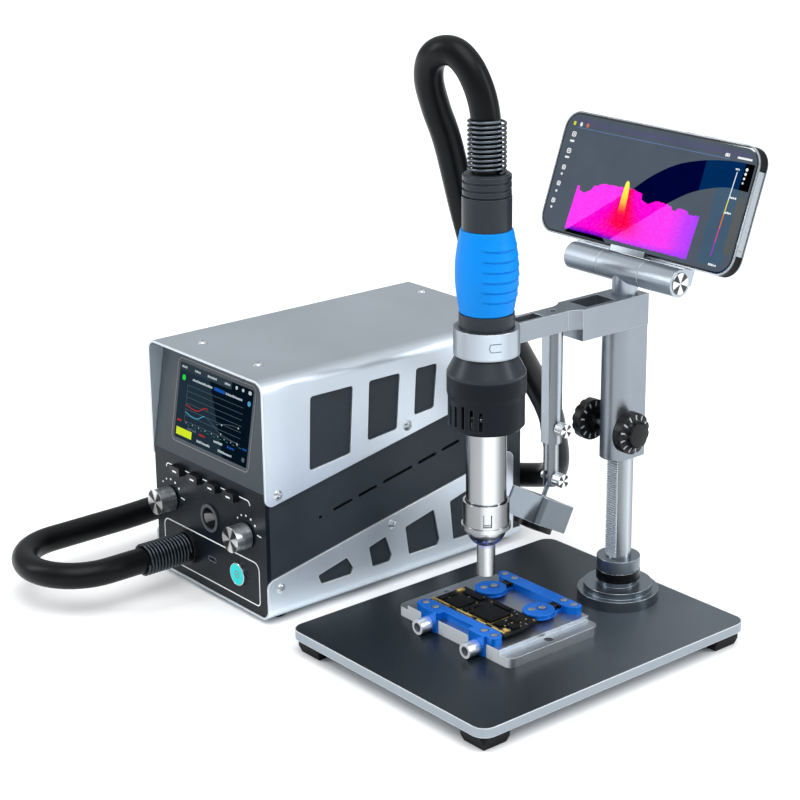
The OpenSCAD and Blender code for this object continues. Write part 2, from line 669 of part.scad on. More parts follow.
// Pinion cut on its cross shaft
module pinion_shaft() at_column() color(chrome) translate([0, pinion_y, pinion_z]) {
    rod_x(4, -22, -pinion_w / 2);
    rod_x(4, pinion_w / 2, 22);
    slab_x(-pinion_w / 2, pinion_w / 2) {
        circle(pinion_r - 0.65);
        for (k = [0 : pinion_teeth - 1]) rotate(360 * k / pinion_teeth)
            polygon([[1, -0.42], [pinion_r - 0.65, -0.4], [pinion_r, -0.27], [pinion_r + 0.45, -0.1],
                [pinion_r + 0.45, 0.1], [pinion_r, 0.27], [pinion_r - 0.65, 0.4], [1, 0.42]]);
    }
}
height_knob_d = 26;
module height_knobs() at_column() color(black) translate([0, pinion_y, pinion_z]) mirrored_x()
    difference() {
        union() {
            rod_x(11, carriage_w / 2 + 0.3, 15);
            rod_x(height_knob_d, 14, 22.5);
            translate([22.5, 0, 0]) rotate([0, 90, 0])
                cylinder(d1 = height_knob_d, d2 = height_knob_d - 4, h = 2.5);
        }
        rod_x(4, 0, 22);
        rod_x(15, 24.5, 26);
    }

// ---- Thermal camera on its telescopic rod ----
tube_z0 = 135.5;
rod_d = 9.3;
pivot_z = 113;
camera_lean = 28;
screw_z = 145.5;
module at_camera() translate([tool_x, camera_y, 0]) children();
module thumbscrew(x0, x1) {
    rod_x(3, x0, x1 + 1);
    difference() {
        rod_x(8.4, x1, x1 + 6.5);
        for (a = [0 : 30 : 330]) rotate([a, 0, 0]) translate([0, 4.4, 0]) rod_x(0.9, x1 - 1, x1 + 5);
    }
}
module camera_tube() at_camera() color(silver) difference() {
    union() {
        intersection() {
            rod_z(12.6, tube_z0, arm_z0);
            block([-7, -5.4, 0], [7, 7, 300]);
        }
        rod_z(4, arm_z0 - 1, arm_z0 + 9);
    }
    rod_z(rod_d + 2 * run, tube_z0 - 1, 199);
    translate([0, 0, screw_z]) rod_x(3 + 2 * run, 0, 10);
}
module camera_rod() at_camera() color(silver) difference() {
    rod_z(rod_d, pivot_z - 5, 182);
    block([-1.6, -6, pivot_z - 6], [1.6, 6, pivot_z + 5]);
    translate([0, 0, pivot_z]) rod_x(3 + 2 * run, -6, 6);
}
module tube_screw() at_camera() color(chrome) translate([0, 0, screw_z]) thumbscrew(4.75, 6.6);
module rod_screw() at_camera() color(chrome) translate([0, 0, pivot_z]) {
    thumbscrew(-6, 4.9);
    rod_x(5, -6.4, -4.8);
}
module camera_head() at_camera() color(silver) translate([0, 0, pivot_z])
    rotate([-camera_lean, 0, 0]) {
        difference() {
            union() {
                rod_x(6.6, -1.5, 1.5);
                rod_z(2.9, -13, -1.8);
            }
            rod_x(3 + 2 * run, -3, 3);
        }
        slab_z(-29.5, -12.6) round_rect(32, -14, 14, 4);
        rod_z(24, -33, -29.5);
    }

// ---- Display cradle ----
barrel_z = 232.2;
barrel_d = 17;
barrel_mid = 17.4;
barrel_end = 45;
display_y0 = -1.1;
display_t = 8;
display_z0 = 9.9;
module at_cradle() at_column() translate([0, 0, barrel_z]) rotate([-display_lean, 0, 0]) children();
module cradle_post() at_column() color(silver) difference() {
    union() {
        rod_z(10, 207.2, 218);
        rod_z(16, arm_z1 + run, barrel_z);
        translate([0, 0, barrel_z]) rod_x(barrel_d, -barrel_mid, barrel_mid);
    }
    translate([0, 0, barrel_z]) rod_x(6 + 2 * run, -20, 20);
}
// Two barrel ends joined by the back plate, with a ledge and a lip under the display
module cradle_bracket() at_cradle() color(silver) difference() {
    union() {
        mirrored_x() rod_x(barrel_d, barrel_mid + gap, barrel_end);
        mirrored_x() block([barrel_mid + gap, 0, 0], [barrel_end, 8.5, 9.7]);
        mirrored_x() block([barrel_mid + gap, 7.1, 0], [barrel_end, 10.1, 20]);
        slab_y(7.1, 10.1) round_rect(2 * barrel_end, 8.7, 64, 6);
        block([-14, -3.2, 8.7], [14, 10, 9.7]);
        block([-14, -3.2, 8.7], [14, -1.6, 12.4]);
    }
    rod_x(6, -50, 50);
    mirrored_x() rod_x(13.2, barrel_end - 1.5, barrel_end + 1);
    slab_y(5, 12) round_rect(50, 22, 54, 5);
}
module cradle_axle() at_cradle() color(chrome) {
    rod_x(6, -barrel_end + 1, barrel_end - 1);
    mirrored_x() rod_x(13, barrel_end - 1.5, barrel_end + 0.5);
}
module display_slab() at_cradle() color(black)
    slab_y(display_y0, display_y0 + display_t)
        round_rect(display_w, display_z0, display_z0 + display_h, 12);

// ---- Board fixture on the plate ----
ledge_h = 6.2;
bed_h = 9;
jaw_h = 14.2;
board_z = 11.9;
board_t = 1.2;
chip_h = 1.2;
jaw_x = 1.5;
leg_x = 22;
pad_y = 12.5;
pad_d = 20;
front_jaw_y = -27;
jaw_screw_d = 9.6;
fixture_w = 104.5;
fixture_d = 74;
module fixture_base() at_fixture() color(silver) difference() {
    union() {
        slab_z(0, ledge_h) round_rect(fixture_w, -fixture_d / 2, fixture_d / 2, 5);
        block([-fixture_w / 2 + 10, -fixture_d / 2, 0], [fixture_w / 2 - 10, fixture_d / 2, bed_h]);
    }
    for (s = [-1, 1]) {
        translate([s * (fixture_w / 2 - 6), 0, 0]) rod_z(6, -1, 12);
        translate([jaw_x + s * leg_x, 0, 0]) {
            block([-7.2, -fixture_d / 2 - 1, -1], [7.2, -fixture_d / 2 + 4, 20]);
            translate([0, 0, 5]) rod_y(4.2, -fixture_d / 2, -8);
        }
    }
}
module front_jaw() at_fixture() color(blue) translate([jaw_x, 0, 0]) difference() {
    union() {
        slab_z(bed_h + run, jaw_h) polygon(rounded([[-36, -37], [36, -37], [36, -30],
            [31, front_jaw_y], [-31, front_jaw_y], [-36, -30]], 2));
        for (s = [-1, 1]) translate([s * leg_x, 0, 0])
            block([-7, -38.5, 0.5], [7, -33.2, jaw_h]);
    }
    block([-14, -40, 5], [14, -33, 20]);
    block([-40, front_jaw_y - 0.8, board_z - run], [40, 0, board_z + board_t + run]);
    for (s = [-1, 1]) translate([s * leg_x, 0, 5]) rod_y(4 + 2 * run, -40, -30);
}
module rear_jaw() at_fixture() color(blue) translate([jaw_x, 0, 0]) {
    slab_z(bed_h, jaw_h) polygon(rounded([[-36, 32], [-31, 28], [31, 28], [36, 32], [36, 37],
        [-36, 37]], 2));
    for (s = [-1, 1]) translate([s * leg_x, 0, 0]) {
        block([-4, pad_y - 2, bed_h], [4, 29, 11]);
        translate([0, pad_y + 3, 0]) rod_z(3, 10, jaw_h + 0.4);
    }
}
module pad(s) at_fixture() color(blue) translate([jaw_x + s * leg_x, pad_y, 0]) difference() {
    rod_z(pad_d, 11 + run, jaw_h);
    translate([0, 3, 0]) rod_z(3 + 2 * run, 9, 16);
    tube_z(pad_d + 2, pad_d - 1.6, board_z - run, board_z + board_t + run);
}
module jaw_screw(s) at_fixture() color(chrome) translate([jaw_x + s * leg_x, 0, 5]) difference() {
    union() {
        rod_y(jaw_screw_d, -47.5, -38.6);
        rod_y(4, -39, -14);
    }
    rod_y(jaw_screw_d / 2, -48, -46.5);
}
module circuit_board() at_fixture() color(green) translate([jaw_x, front_jaw_y - 0.6, 0]) {
    slab_z(board_z, board_z + board_t)
        polygon([[-35, 0], [35, 0], [35, 20], [32, 24], [32, board_d], [-35, board_d]]);
    translate([0, 0, board_z + board_t]) {
        block([-26, 5, 0], [-12, 19, chip_h]);
        block([-4, 6, 0], [16, 23, chip_h]);
    }
}

top_cover();
bottom_tray();
chassis();
front_panel();
rear_panel();
screen_module();
control_board();
button(0);  // button_1
button(1);  // button_2
button(2);  // button_3
button(3);  // button_4
power_button();
knob(left_knob_x);  // left_knob
knob(right_knob_x);  // right_knob
round_window();
hose_port();
port_spring();
air_duct();
blower_housing();
impeller();
blower_motor();
main_board();
mains_inlet();
rubber_feet();
unit_screws();
hose();
nozzle();
nozzle_clamp();
heater_tube();
heater_core();
lower_housing();
upper_housing();
grip_sleeve();
hose_boot();
hose_spring();
base_plate();
column_flange();
column();
rack();
carriage();
tool_arm();
pinion_shaft();
height_knobs();
camera_tube();
camera_rod();
tube_screw();
rod_screw();
camera_head();
cradle_post();
cradle_bracket();
cradle_axle();
display_slab();
fixture_base();
front_jaw();
rear_jaw();
pad(-1);  // left_pad
pad(1);  // right_pad
jaw_screw(-1);  // left_jaw_screw
jaw_screw(1);  // right_jaw_screw
circuit_board();
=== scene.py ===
"""Looks for the hot air rework station: materials, fine pieces, studio and camera around the frame."""

import math
import random

import bmesh
import bpy
from mathutils import Matrix, Vector


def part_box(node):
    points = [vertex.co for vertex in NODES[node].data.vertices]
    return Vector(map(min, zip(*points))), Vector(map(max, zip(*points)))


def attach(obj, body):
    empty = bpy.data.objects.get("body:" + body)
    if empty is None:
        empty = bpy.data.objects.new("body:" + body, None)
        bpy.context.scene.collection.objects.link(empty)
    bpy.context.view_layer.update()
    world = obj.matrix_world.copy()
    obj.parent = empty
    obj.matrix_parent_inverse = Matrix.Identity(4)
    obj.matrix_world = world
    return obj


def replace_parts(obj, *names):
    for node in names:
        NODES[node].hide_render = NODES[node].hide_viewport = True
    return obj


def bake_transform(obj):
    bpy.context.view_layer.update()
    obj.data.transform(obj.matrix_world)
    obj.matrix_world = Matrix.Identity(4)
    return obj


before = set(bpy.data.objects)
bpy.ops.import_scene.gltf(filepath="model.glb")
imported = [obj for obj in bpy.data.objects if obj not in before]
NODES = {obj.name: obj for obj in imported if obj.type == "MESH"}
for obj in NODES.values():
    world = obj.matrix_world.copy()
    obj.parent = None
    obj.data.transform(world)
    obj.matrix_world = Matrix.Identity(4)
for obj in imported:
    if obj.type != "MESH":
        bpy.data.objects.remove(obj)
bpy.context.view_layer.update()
MM = 0.001


def mid(node):
    """Middle of a CAD node's box."""
    low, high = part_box(node)
    return (low + high) / 2


def srgb(red, green, blue):
    """Linear colour from 0 to 255 display values."""
    def linear(value):
        value /= 255
        return value / 12.92 if value <= 0.04045 else ((value + 0.055) / 1.055) ** 2.4
    return (linear(red), linear(green), linear(blue), 1.0)


# ---------------------------------------------------------------- places

class Place:
    """A local frame in millimetres: u and v in a face's plane, d out of it."""

    def __init__(self, origin, u, v):
        self.origin, self.u, self.v = Vector(origin), Vector(u).normalized(), Vector(v).normalized()
        self.d = self.u.cross(self.v).normalized()

    def at(self, u, v, d=0.0):
        return self.origin + (self.u * u + self.v * v + self.d * d) * MM

    def moved(self, u=0.0, v=0.0, d=0.0):
        return Place(self.at(u, v, d), self.u, self.v)


UNIT_LOW, UNIT_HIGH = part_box("bottom_tray")
UNIT_X = (UNIT_LOW.x + UNIT_HIGH.x) / 2
UNIT_FRONT, UNIT_FLOOR = UNIT_LOW.y, UNIT_LOW.z
PANEL_BACK = 0.6
PANEL_CREASE = 86
PANEL_LEAN = math.radians(9.3)
DISPLAY_LEAN = math.radians(20)

# Lower panel: u to the right, v up from the housing's floor. Screen: along the leaning upper panel.
panel = Place((UNIT_X, UNIT_FRONT + PANEL_BACK * MM, UNIT_FLOOR), (1, 0, 0), (0, 0, 1))
screen = Place(panel.at(0, PANEL_CREASE), (1, 0, 0),
               (0, math.sin(PANEL_LEAN), math.cos(PANEL_LEAN))).moved(v=37, d=-0.3)
AXLE = mid("cradle_axle")
cradle = Place(AXLE, (1, 0, 0), (0, math.sin(DISPLAY_LEAN), math.cos(DISPLAY_LEAN)))
DISPLAY_FRONT, DISPLAY_BACK, DISPLAY_FOOT = 1.1, -6.9, 9.9
DISPLAY_W, DISPLAY_H, DISPLAY_R = 161, 78, 12
display = cradle.moved(v=DISPLAY_FOOT + DISPLAY_H / 2, d=DISPLAY_FRONT)
TOOL = mid("heater_tube")
tool = Place((TOOL.x, TOOL.y, 0), (1, 0, 0), (0, 1, 0))
COLUMN = mid("column_flange")
FIXTURE = mid("fixture_base")
FIXTURE_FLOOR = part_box("fixture_base")[0].z
fixture = Place((FIXTURE.x, FIXTURE.y, FIXTURE_FLOOR), (1, 0, 0), (0, 1, 0))


# ---------------------------------------------------------------- outlines and solids

def arc(cu, cv, radius, start, end, steps):
    """Points on an arc, angles in degrees."""
    return [(cu + radius * math.cos(math.radians(start + (end - start) * i / steps)),
             cv + radius * math.sin(math.radians(start + (end - start) * i / steps)))
            for i in range(steps + 1)]


def round_box(width, height, radius, cu=0.0, cv=0.0, steps=6):
    """Rectangle with round corners, counter-clockwise."""
    points = []
    for k, (su, sv) in enumerate([(1, 1), (-1, 1), (-1, -1), (1, -1)]):
        points += arc(cu + su * (width / 2 - radius), cv + sv * (height / 2 - radius), radius,
                      90 * k, 90 * k + 90, steps)
    return points


def disc(radius, cu=0.0, cv=0.0, steps=40):
    """A round outline with the given number of points."""
    return arc(cu, cv, radius, 0, 360 * (steps - 1) / steps, steps - 1)


def inset(outline, amount):
    """The outline moved inwards; its points run counter-clockwise."""
    moved = []
    count = len(outline)
    for i, (u, v) in enumerate(outline):
        before, after = Vector(outline[i - 1]), Vector(outline[(i + 1) % count])
        here = Vector((u, v))
        first, second = (here - before), (after - here)
        if first.length < 1e-9 or second.length < 1e-9:
            chord = (after - before).normalized()
            moved.append((u - chord.y * amount, v + chord.x * amount))
            continue
        first.normalize()
        second.normalize()
        normal = Vector((-first.y - second.y, first.x + second.x))
        normal.normalize()
        spread = max(0.4, normal.dot(Vector((-first.y, first.x))))
        moved.append((u + normal.x * amount / spread, v + normal.y * amount / spread))
    return moved


def along(points, count):
    """Points spread evenly in parameter along a smooth curve through the guide points."""
    guides = [Vector(p) for p in points]
    guides = [2 * guides[0] - guides[1]] + guides + [2 * guides[-1] - guides[-2]]
    spans = len(guides) - 3
    result = []
    for k in range(count + 1):
        place = spans * k / count
        i = min(int(place), spans - 1)
        t = place - i
        a, b, c, d = guides[i:i + 4]
        result.append(0.5 * ((2 * b) + (c - a) * t + (2 * a - 5 * b + 4 * c - d) * t * t
                             + (3 * b - a - 3 * c + d) * t ** 3))
    return result


def smooth_line(guides, count):
    """The same in a face's plane, as (u, v) pairs."""
    return [(p.x, p.y) for p in along([(u, v, 0) for u, v in guides], count)]


ROUND_STEPS = 3


class Solid:
    """Gathers closed bodies into one piece."""

    def __init__(self):
        self.bm = bmesh.new()
        self.materials = []

    def skin(self, rings, material, closed_loop=False):
        """Joins rings of points, each ring the same length, into a closed body."""
        if material not in self.materials:
            self.materials.append(material)
        index = self.materials.index(material)
        made = [[self.bm.verts.new(p) for p in ring] for ring in rings]
        size = len(made[0])
        pairs = list(zip(made, made[1:])) + ([(made[-1], made[0])] if closed_loop else [])
        for low, high in pairs:
            for k in range(size):
                corners = (low[k], low[(k + 1) % size], high[(k + 1) % size], high[k])
                self.face(corners, index)
        if not closed_loop:
            self.face(made[0][::-1], index)
            self.face(made[-1], index)
        return self

    def face(self, corners, index):
        face = self.bm.faces.new(corners)
        face.material_index = index
        face.smooth = True

    def prism(self, place, outline, low, high, material, edge=0.0):
        """An outline pushed out from depth low to depth high, with rounded edges."""
        levels = [(low, 0.0), (high, 0.0)]
        if edge:
            quarter = [(edge * (1 - math.cos(a)), edge * (1 - math.sin(a)))
                       for a in (i / ROUND_STEPS * math.pi / 2 for i in range(ROUND_STEPS + 1))]
            levels = [(low + rise, shrink) for rise, shrink in quarter]
            levels += [(high - rise, shrink) for rise, shrink in reversed(quarter)]
        rings = [[place.at(u, v, depth) for u, v in (inset(outline, shrink) if shrink else outline)]
                 for depth, shrink in levels]
        return self.skin(rings, material)

    def ring(self, place, outer, inner, low, high, material):
        """A flat frame between two outlines with the same number of points."""
        rings = [[place.at(u, v, depth) for u, v in outline]
                 for outline, depth in ((outer, low), (outer, high), (inner, high), (inner, low))]
        return self.skin(rings, material, closed_loop=True)

    def lathe(self, place, profile, material, steps=64, hollow=False, wave=None):
        """Turns a profile of (radius, depth) about the place's d axis."""
        rings = []
        for radius, depth in profile:
            ring = []
            for k in range(steps):
                angle = 2 * math.pi * k / steps
                size = radius + (wave(angle, radius, depth) if wave else 0.0)
                ring.append(place.at(size * math.cos(angle), size * math.sin(angle), depth))
            rings.append(ring)
        return self.skin(rings, material, closed_loop=hollow)

    def tube(self, path, radius, material, sides=10):
        """Round stock swept along points in metres; radius in millimetres."""
        rings = []
        side = None
        size = radius * MM
        for i, point in enumerate(path):
            tangent = (path[min(i + 1, len(path) - 1)] - path[max(i - 1, 0)]).normalized()
            if side is None:
                side = tangent.orthogonal()
            side = (side - tangent * side.dot(tangent)).normalized()
            other = tangent.cross(side)
            rings.append([point + (side * math.cos(2 * math.pi * k / sides)
                                   + other * math.sin(2 * math.pi * k / sides)) * size
                          for k in range(sides)])
        return self.skin(rings, material)

    def bar(self, place, u, v, width, height, material, high=0.06, low=-0.02, radius=0.0):
        """A flat block centred on (u, v)."""
        outline = round_box(width, height, radius, u, v, 4) if radius else [
            (u + width / 2, v + height / 2), (u - width / 2, v + height / 2),
            (u - width / 2, v - height / 2), (u + width / 2, v - height / 2)]
        return self.prism(place, outline, low, high, material)

    def strip(self, place, points, width, material, high=0.06, low=-0.02):
        """A flat line of the given width along points in the face's plane."""
        left, right = [], []
        for i, (u, v) in enumerate(points):
            a = Vector(points[max(i - 1, 0)])
            b = Vector(points[min(i + 1, len(points) - 1)])
            way = (b - a).normalized()
            left.append((u - way.y * width / 2, v + way.x * width / 2))
            right.append((u + way.y * width / 2, v - way.x * width / 2))
        rings = []
        for (lu, lv), (ru, rv) in zip(left, right):
            rings.append([place.at(lu, lv, low), place.at(lu, lv, high),
                          place.at(ru, rv, high), place.at(ru, rv, low)])
        return self.skin(rings, material)

    def done(self, name, body, slot, angle=35):
        """Makes the object, gives it its materials, and lets it ride on its body."""
        bmesh.ops.recalc_face_normals(self.bm, faces=self.bm.faces)
        mesh = bpy.data.meshes.new(name)
        self.bm.to_mesh(mesh)
        self.bm.free()
        for material in self.materials:
            mesh.materials.append(material)
        mesh.set_sharp_from_angle(angle=math.radians(angle))
        made = bpy.data.objects.new(name, mesh)
        bpy.context.scene.collection.objects.link(made)
        if body:
            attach(made, body)
        return made


# ---------------------------------------------------------------- materials

class Shading:
    """Short ways to add nodes to a node tree."""

    def __init__(self, tree):
        self.tree = tree

    def feed(self, socket, source):
        """Links a socket to another one, or gives it a plain value."""
        if isinstance(source, bpy.types.NodeSocket):
            self.tree.links.new(source, socket)
        else:
            socket.default_value = source

    def node(self, kind, inputs=(), **settings):
        """A node with its settings made and its inputs, by name or number, fed."""
        made = self.tree.nodes.new("ShaderNode" + kind)
        for name, value in settings.items():
            setattr(made, name, value)
        for key, source in dict(inputs).items():
            self.feed(made.inputs[key], source)
        return made

    def fit(self, source, low, high, first=0, last=1):
        """The source rescaled, so that low to high becomes first to last and stays within them."""
        return self.node("MapRange", {"Value": source, "From Min": low, "From Max": high,
                                      "To Min": first, "To Max": last}).outputs["Result"]

    def maths(self, operation, *sources):
        return self.node("Math", enumerate(sources), operation=operation).outputs[0]

    def times(self, first, second):
        return self.maths("MULTIPLY", first, second)

    def mix(self, factor, first, second, blend="MIX"):
        sources = {0: factor, 6: first, 7: second}
        return self.node("Mix", sources, data_type="RGBA", blend_type=blend).outputs[2]

    def part(self, vector, axis):
        return self.node("SeparateXYZ", {0: vector}).outputs[axis]

    def ramp(self, source, stops):
        """A colour ramp through (position, colour) stops."""
        made = self.node("ValToRGB", {0: source})
        marks = made.color_ramp.elements
        while len(marks) < len(stops):
            marks.new(0.5)
        for mark, (position, colour) in zip(marks, stops):
            mark.position, mark.color = position, colour
        return made.outputs[0]


def grey(level):
    return (level, level, level, 1.0)


def shade(colour, factor):
    """A colour made lighter or darker."""
    return tuple(min(1.0, c * factor) for c in colour[:3]) + (1.0,)


class Finish(Shading):
    """A procedural surface: base colour with cloudy variation, fine grain, rounded edges with a painted
    highlight.
    """

    def __init__(self, name, colour, metal=0.0, rough=0.4, tint=0.06, cloud=35, grain=900, bump=0.05,
                 stretch=(1, 1, 1), rough_vary=0.1, edge=0.4, edge_glint=0.25, edge_glint_colour=None, coat=0.0,
                 specular=0.5):
        self.material = bpy.data.materials.new(name)
        self.material.use_nodes = True
        super().__init__(self.material.node_tree)
        self.bsdf = self.tree.nodes["Principled BSDF"]
        self.coordinates = self.node("TexCoord").outputs["Object"]
        clouds, fine = self.noise(cloud, detail=2), self.noise(grain, stretch)
        self.colour = self.mix(self.fit(clouds, 0.3, 0.7), shade(colour, 1 - tint), shade(colour, 1 + tint))
        self.colour = self.mix(self.fit(fine, 0.3, 0.7), self.colour, self.scaled(1 - tint))
        relief = self.node("Bump", {"Strength": bump, "Distance": 0.3 * MM, "Height": fine})
        # Painted highlight: edges are lightened where the rounded normal turns away from the true one.
        if edge:
            rounded = self.node("Bevel", {"Radius": edge * MM}, samples=6).outputs[0]
            facing = self.node("VectorMath", {0: rounded, 1: self.normal()}, operation="DOT_PRODUCT")
            self.edge_mask = self.fit(facing.outputs["Value"], 0.995, 0.86)
            glint_mask = self.times(self.edge_mask, edge_glint)
            self.colour = self.mix(glint_mask, self.colour, edge_glint_colour or shade(colour, 1.8))
            self.feed(relief.inputs["Normal"], rounded)
        both = self.maths("ADD", self.times(fine, 0.5), self.times(clouds, 0.5))
        smooth, coarse = max(0.02, rough - rough_vary / 2), rough + rough_vary / 2
        for socket, source in (
                ("Normal", relief.outputs[0]), ("Roughness", self.fit(both, 0.3, 0.7, smooth, coarse)),
                ("Metallic", metal), ("Coat Weight", coat), ("Coat Roughness", 0.08),
                ("Specular IOR Level", specular), ("Base Color", self.colour)):
            self.set(socket, source)

    def set(self, socket, source):
        self.feed(self.bsdf.inputs[socket], source)

    def noise(self, scale, stretch=(1, 1, 1), detail=3):
        place = self.node("Mapping", {"Vector": self.coordinates, "Scale": stretch}).outputs[0]
        return self.node("TexNoise", {"Vector": place, "Scale": scale, "Detail": detail}).outputs["Fac"]

    def scaled(self, factor):
        """The colour so far, made lighter or darker."""
        return self.mix(1.0, self.colour, grey(factor), "MULTIPLY")

    def normal(self):
        return self.node("NewGeometry").outputs["Normal"]

    def position(self, axis):
        """Object coordinate along one axis, in metres."""
        return self.part(self.coordinates, axis)

    def facing(self, axis, low, high, first=0, last=1):
        """A mask from how far the surface faces along an axis."""
        return self.fit(self.part(self.normal(), axis), low, high, first, last)

    def facing_either(self, axis, low, high, first=0, last=1):
        """The same, for both ways along the axis."""
        return self.fit(self.maths("ABSOLUTE", self.part(self.normal(), axis)), low, high, first, last)

    def lying(self, axis, low, high, first=0, last=1):
        """A mask from where the surface lies along an axis, in metres."""
        return self.fit(self.position(axis), low, high, first, last)

    def mix_in(self, mask, colour):
        """Blends another colour in where the mask is one."""
        self.colour = self.mix(mask, self.colour, colour)
        self.set("Base Color", self.colour)
        return self

    def level(self, mask, factor):
        """Makes the surface lighter or darker where the mask is one."""
        return self.mix_in(mask, self.scaled(factor))

    def paint_reflection_bands(self, stops, axis=(0.6603, 0.7510, 0.0), mask=1.0):
        """Painted reflections: darker and brighter bands along round stock: 0 where it faces against the axis, 1
        where along it.
        """
        facing = self.node("VectorMath", {0: self.normal(), 1: axis}, operation="DOT_PRODUCT")
        bands = self.ramp(self.fit(facing.outputs["Value"], -1, 1),
                          [(position, grey(level)) for position, level in stops])
        return self.mix_in(mask, self.mix(1.0, self.colour, bands, "MULTIPLY"))

    def paint_spun_highlights(self, centre, axis):
        """Painted highlight: bright and dark wedges, as light falls on a turned end face."""
        across, up = [k for k in range(3) if k != axis]
        first = self.maths("SUBTRACT", self.position(across), centre[across])
        second = self.maths("SUBTRACT", self.position(up), centre[up])
        turned = self.times(self.maths("ARCTAN2", second, first), 4)
        wedge = self.fit(self.maths("COSINE", turned), -0.45, 0.6)
        return self.mix_in(self.facing_either(axis, 0.9, 0.98), self.mix(wedge, grey(0.05), grey(0.95)))

    def on(self, *nodes):
        """Gives CAD nodes this material, on each object's own slots."""
        for name in nodes:
            thing = NODES[name]
            if not thing.material_slots:
                thing.data.materials.append(self.material)
            for slot in thing.material_slots:
                slot.link = "OBJECT"
                slot.material = self.material
        return self


def glow(name, colour, strength=1.0):
    """A lit surface under glass, with a slight unevenness in its light."""
    finish = Finish(name, shade(colour, 0.01), rough=0.25, tint=0.03, bump=0.0, edge=0, specular=0.0)
    uneven = finish.fit(finish.noise(60), 0.3, 0.7, 0.94, 1.06)
    finish.set("Emission Color", finish.mix(1.0, colour, uneven, "MULTIPLY"))
    finish.set("Emission Strength", strength)
    return finish.material


def glows(prefix, *tones):
    """Lit materials from (name, red, green, blue, strength)."""
    return [glow(f"{prefix}_{name}", srgb(*tone), strength) for name, *tone, strength in tones]


# Pale colour of painted edge highlights
BRIGHT = srgb(236, 240, 244)
BRUSHED = dict(metal=0.9, rough=0.34, tint=0.04, cloud=30, grain=1500, edge=0.5, edge_glint=0.6, edge_glint_colour=BRIGHT)
DRAWN = dict(metal=0.95, rough=0.3, tint=0.03, cloud=30, grain=1100, stretch=(1, 1, 0.05), edge_glint=0.6,
             edge_glint_colour=BRIGHT)
BOARD = dict(rough=0.35, tint=0.15, cloud=220, grain=900, bump=0.08, edge=0.2, edge_glint=0.2)
FINE_GREY = dict(tint=0.04, grain=1500, bump=0.04, edge=0)

# Covers, panels and stand
cover = Finish("cover_silver", srgb(196, 206, 215), metal=0.85, tint=0.03, cloud=18, grain=1400, edge=0.7,
               edge_glint=0.9, edge_glint_colour=BRIGHT).on("top_cover", "bottom_tray")
stand_silver = Finish("stand_silver", srgb(140, 148, 156), **BRUSHED).on("carriage", "tool_arm")
Finish("light_silver", srgb(168, 178, 187), **{**BRUSHED, "rough": 0.36}).on("cradle_bracket", "cradle_post")
Finish("head_silver", srgb(112, 121, 129), **{**BRUSHED, "cloud": 40, "edge": 0.9, "edge_glint": 1.0,
                                              "edge_glint_colour": srgb(222, 228, 233)}).on("camera_head")
Finish("flange_silver", srgb(120, 130, 139), metal=0.95, rough=0.3, tint=0.04, cloud=30, bump=0.03, edge=0.5,
       edge_glint=0.9, edge_glint_colour=srgb(190, 198, 205)).on("column_flange")
round_silver = Finish("round_silver", srgb(205, 215, 223), bump=0.04, edge=0.5, **DRAWN).on("column")
tube_silver = Finish("tube_silver", srgb(178, 187, 195), bump=0.03, **DRAWN).on("camera_tube", "camera_rod")
Finish("rack_steel", srgb(206, 212, 217), metal=0.8, tint=0.04, bump=0.03, edge=0, specular=0.3).on("rack")
fixture_silver = Finish("fixture_silver", srgb(196, 204, 212), metal=0.95, rough=0.34, tint=0.05, cloud=60,
                        grain=420, stretch=(0.06, 1, 1), bump=0.06, edge_glint=0.7,
                        edge_glint_colour=BRIGHT).on("fixture_base")
Finish("body_dark", srgb(46, 54, 62), rough=0.42, tint=0.08, grain=1300, bump=0.12, edge_glint=0.2, edge=0.5,
       specular=0.2).on("chassis", "rear_panel")
panel_dark = Finish("panel_dark", srgb(14, 21, 28), rough=0.36, tint=0.08, grain=1600, bump=0.1, edge_glint=0.2,
                    specular=0.16).on("front_panel")
plate_dark = Finish("plate_dark", srgb(18, 26, 33), rough=0.34, tint=0.07, cloud=14, grain=1600, bump=0.12,
                    edge=1.1, edge_glint=1.0, edge_glint_colour=BRIGHT, specular=0.22).on("base_plate")

# Plastics and rubber
black_satin = Finish("black_satin", srgb(14, 16, 19), rough=0.34, tint=0.1, grain=1500, bump=0.1,
                     edge_glint_colour=srgb(90, 96, 102), specular=0.25)
black_satin.on("button_1", "button_2", "button_3", "button_4", "round_window", "hose_port", "mains_inlet",
               "height_knobs")
Finish("housing_black", srgb(34, 41, 48), rough=0.34, tint=0.08, grain=1700, bump=0.1, edge=0.6, edge_glint=0.3,
       edge_glint_colour=srgb(104, 112, 120), specular=0.25).on("upper_housing", "hose_boot")
# The lower housing takes a darker copy of the housing black, as painted shade.
Finish("shaded_cone_black", srgb(19, 24, 30), rough=0.36, tint=0.08, grain=1700, bump=0.08, edge=0.6, edge_glint=0.35,
       edge_glint_colour=srgb(92, 100, 108), specular=0.1).on("lower_housing")
rubber = Finish("foot_rubber", srgb(10, 11, 13), rough=0.6, tint=0.12, grain=1100, bump=0.2, edge=0.6,
                edge_glint=0.2, edge_glint_colour=srgb(60, 62, 64), specular=0.15).on("rubber_feet")
hose_rubber = Finish("hose_rubber", srgb(6, 8, 10), rough=0.34, tint=0.1, grain=700, bump=0.02, edge=0,
                     rough_vary=0.06, specular=0.15).on("hose")
grip_blue = Finish("grip_blue", srgb(0, 128, 216), rough=0.45, tint=0.03, grain=1400, bump=0.08, edge=0,
                   specular=0.12).on("grip_sleeve")
black_gloss = Finish("black_gloss", srgb(9, 10, 12), rough=0.26, tint=0.1, bump=0.03, edge=0.3, edge_glint=0.3,
                     edge_glint_colour=srgb(70, 76, 82), specular=0.2)
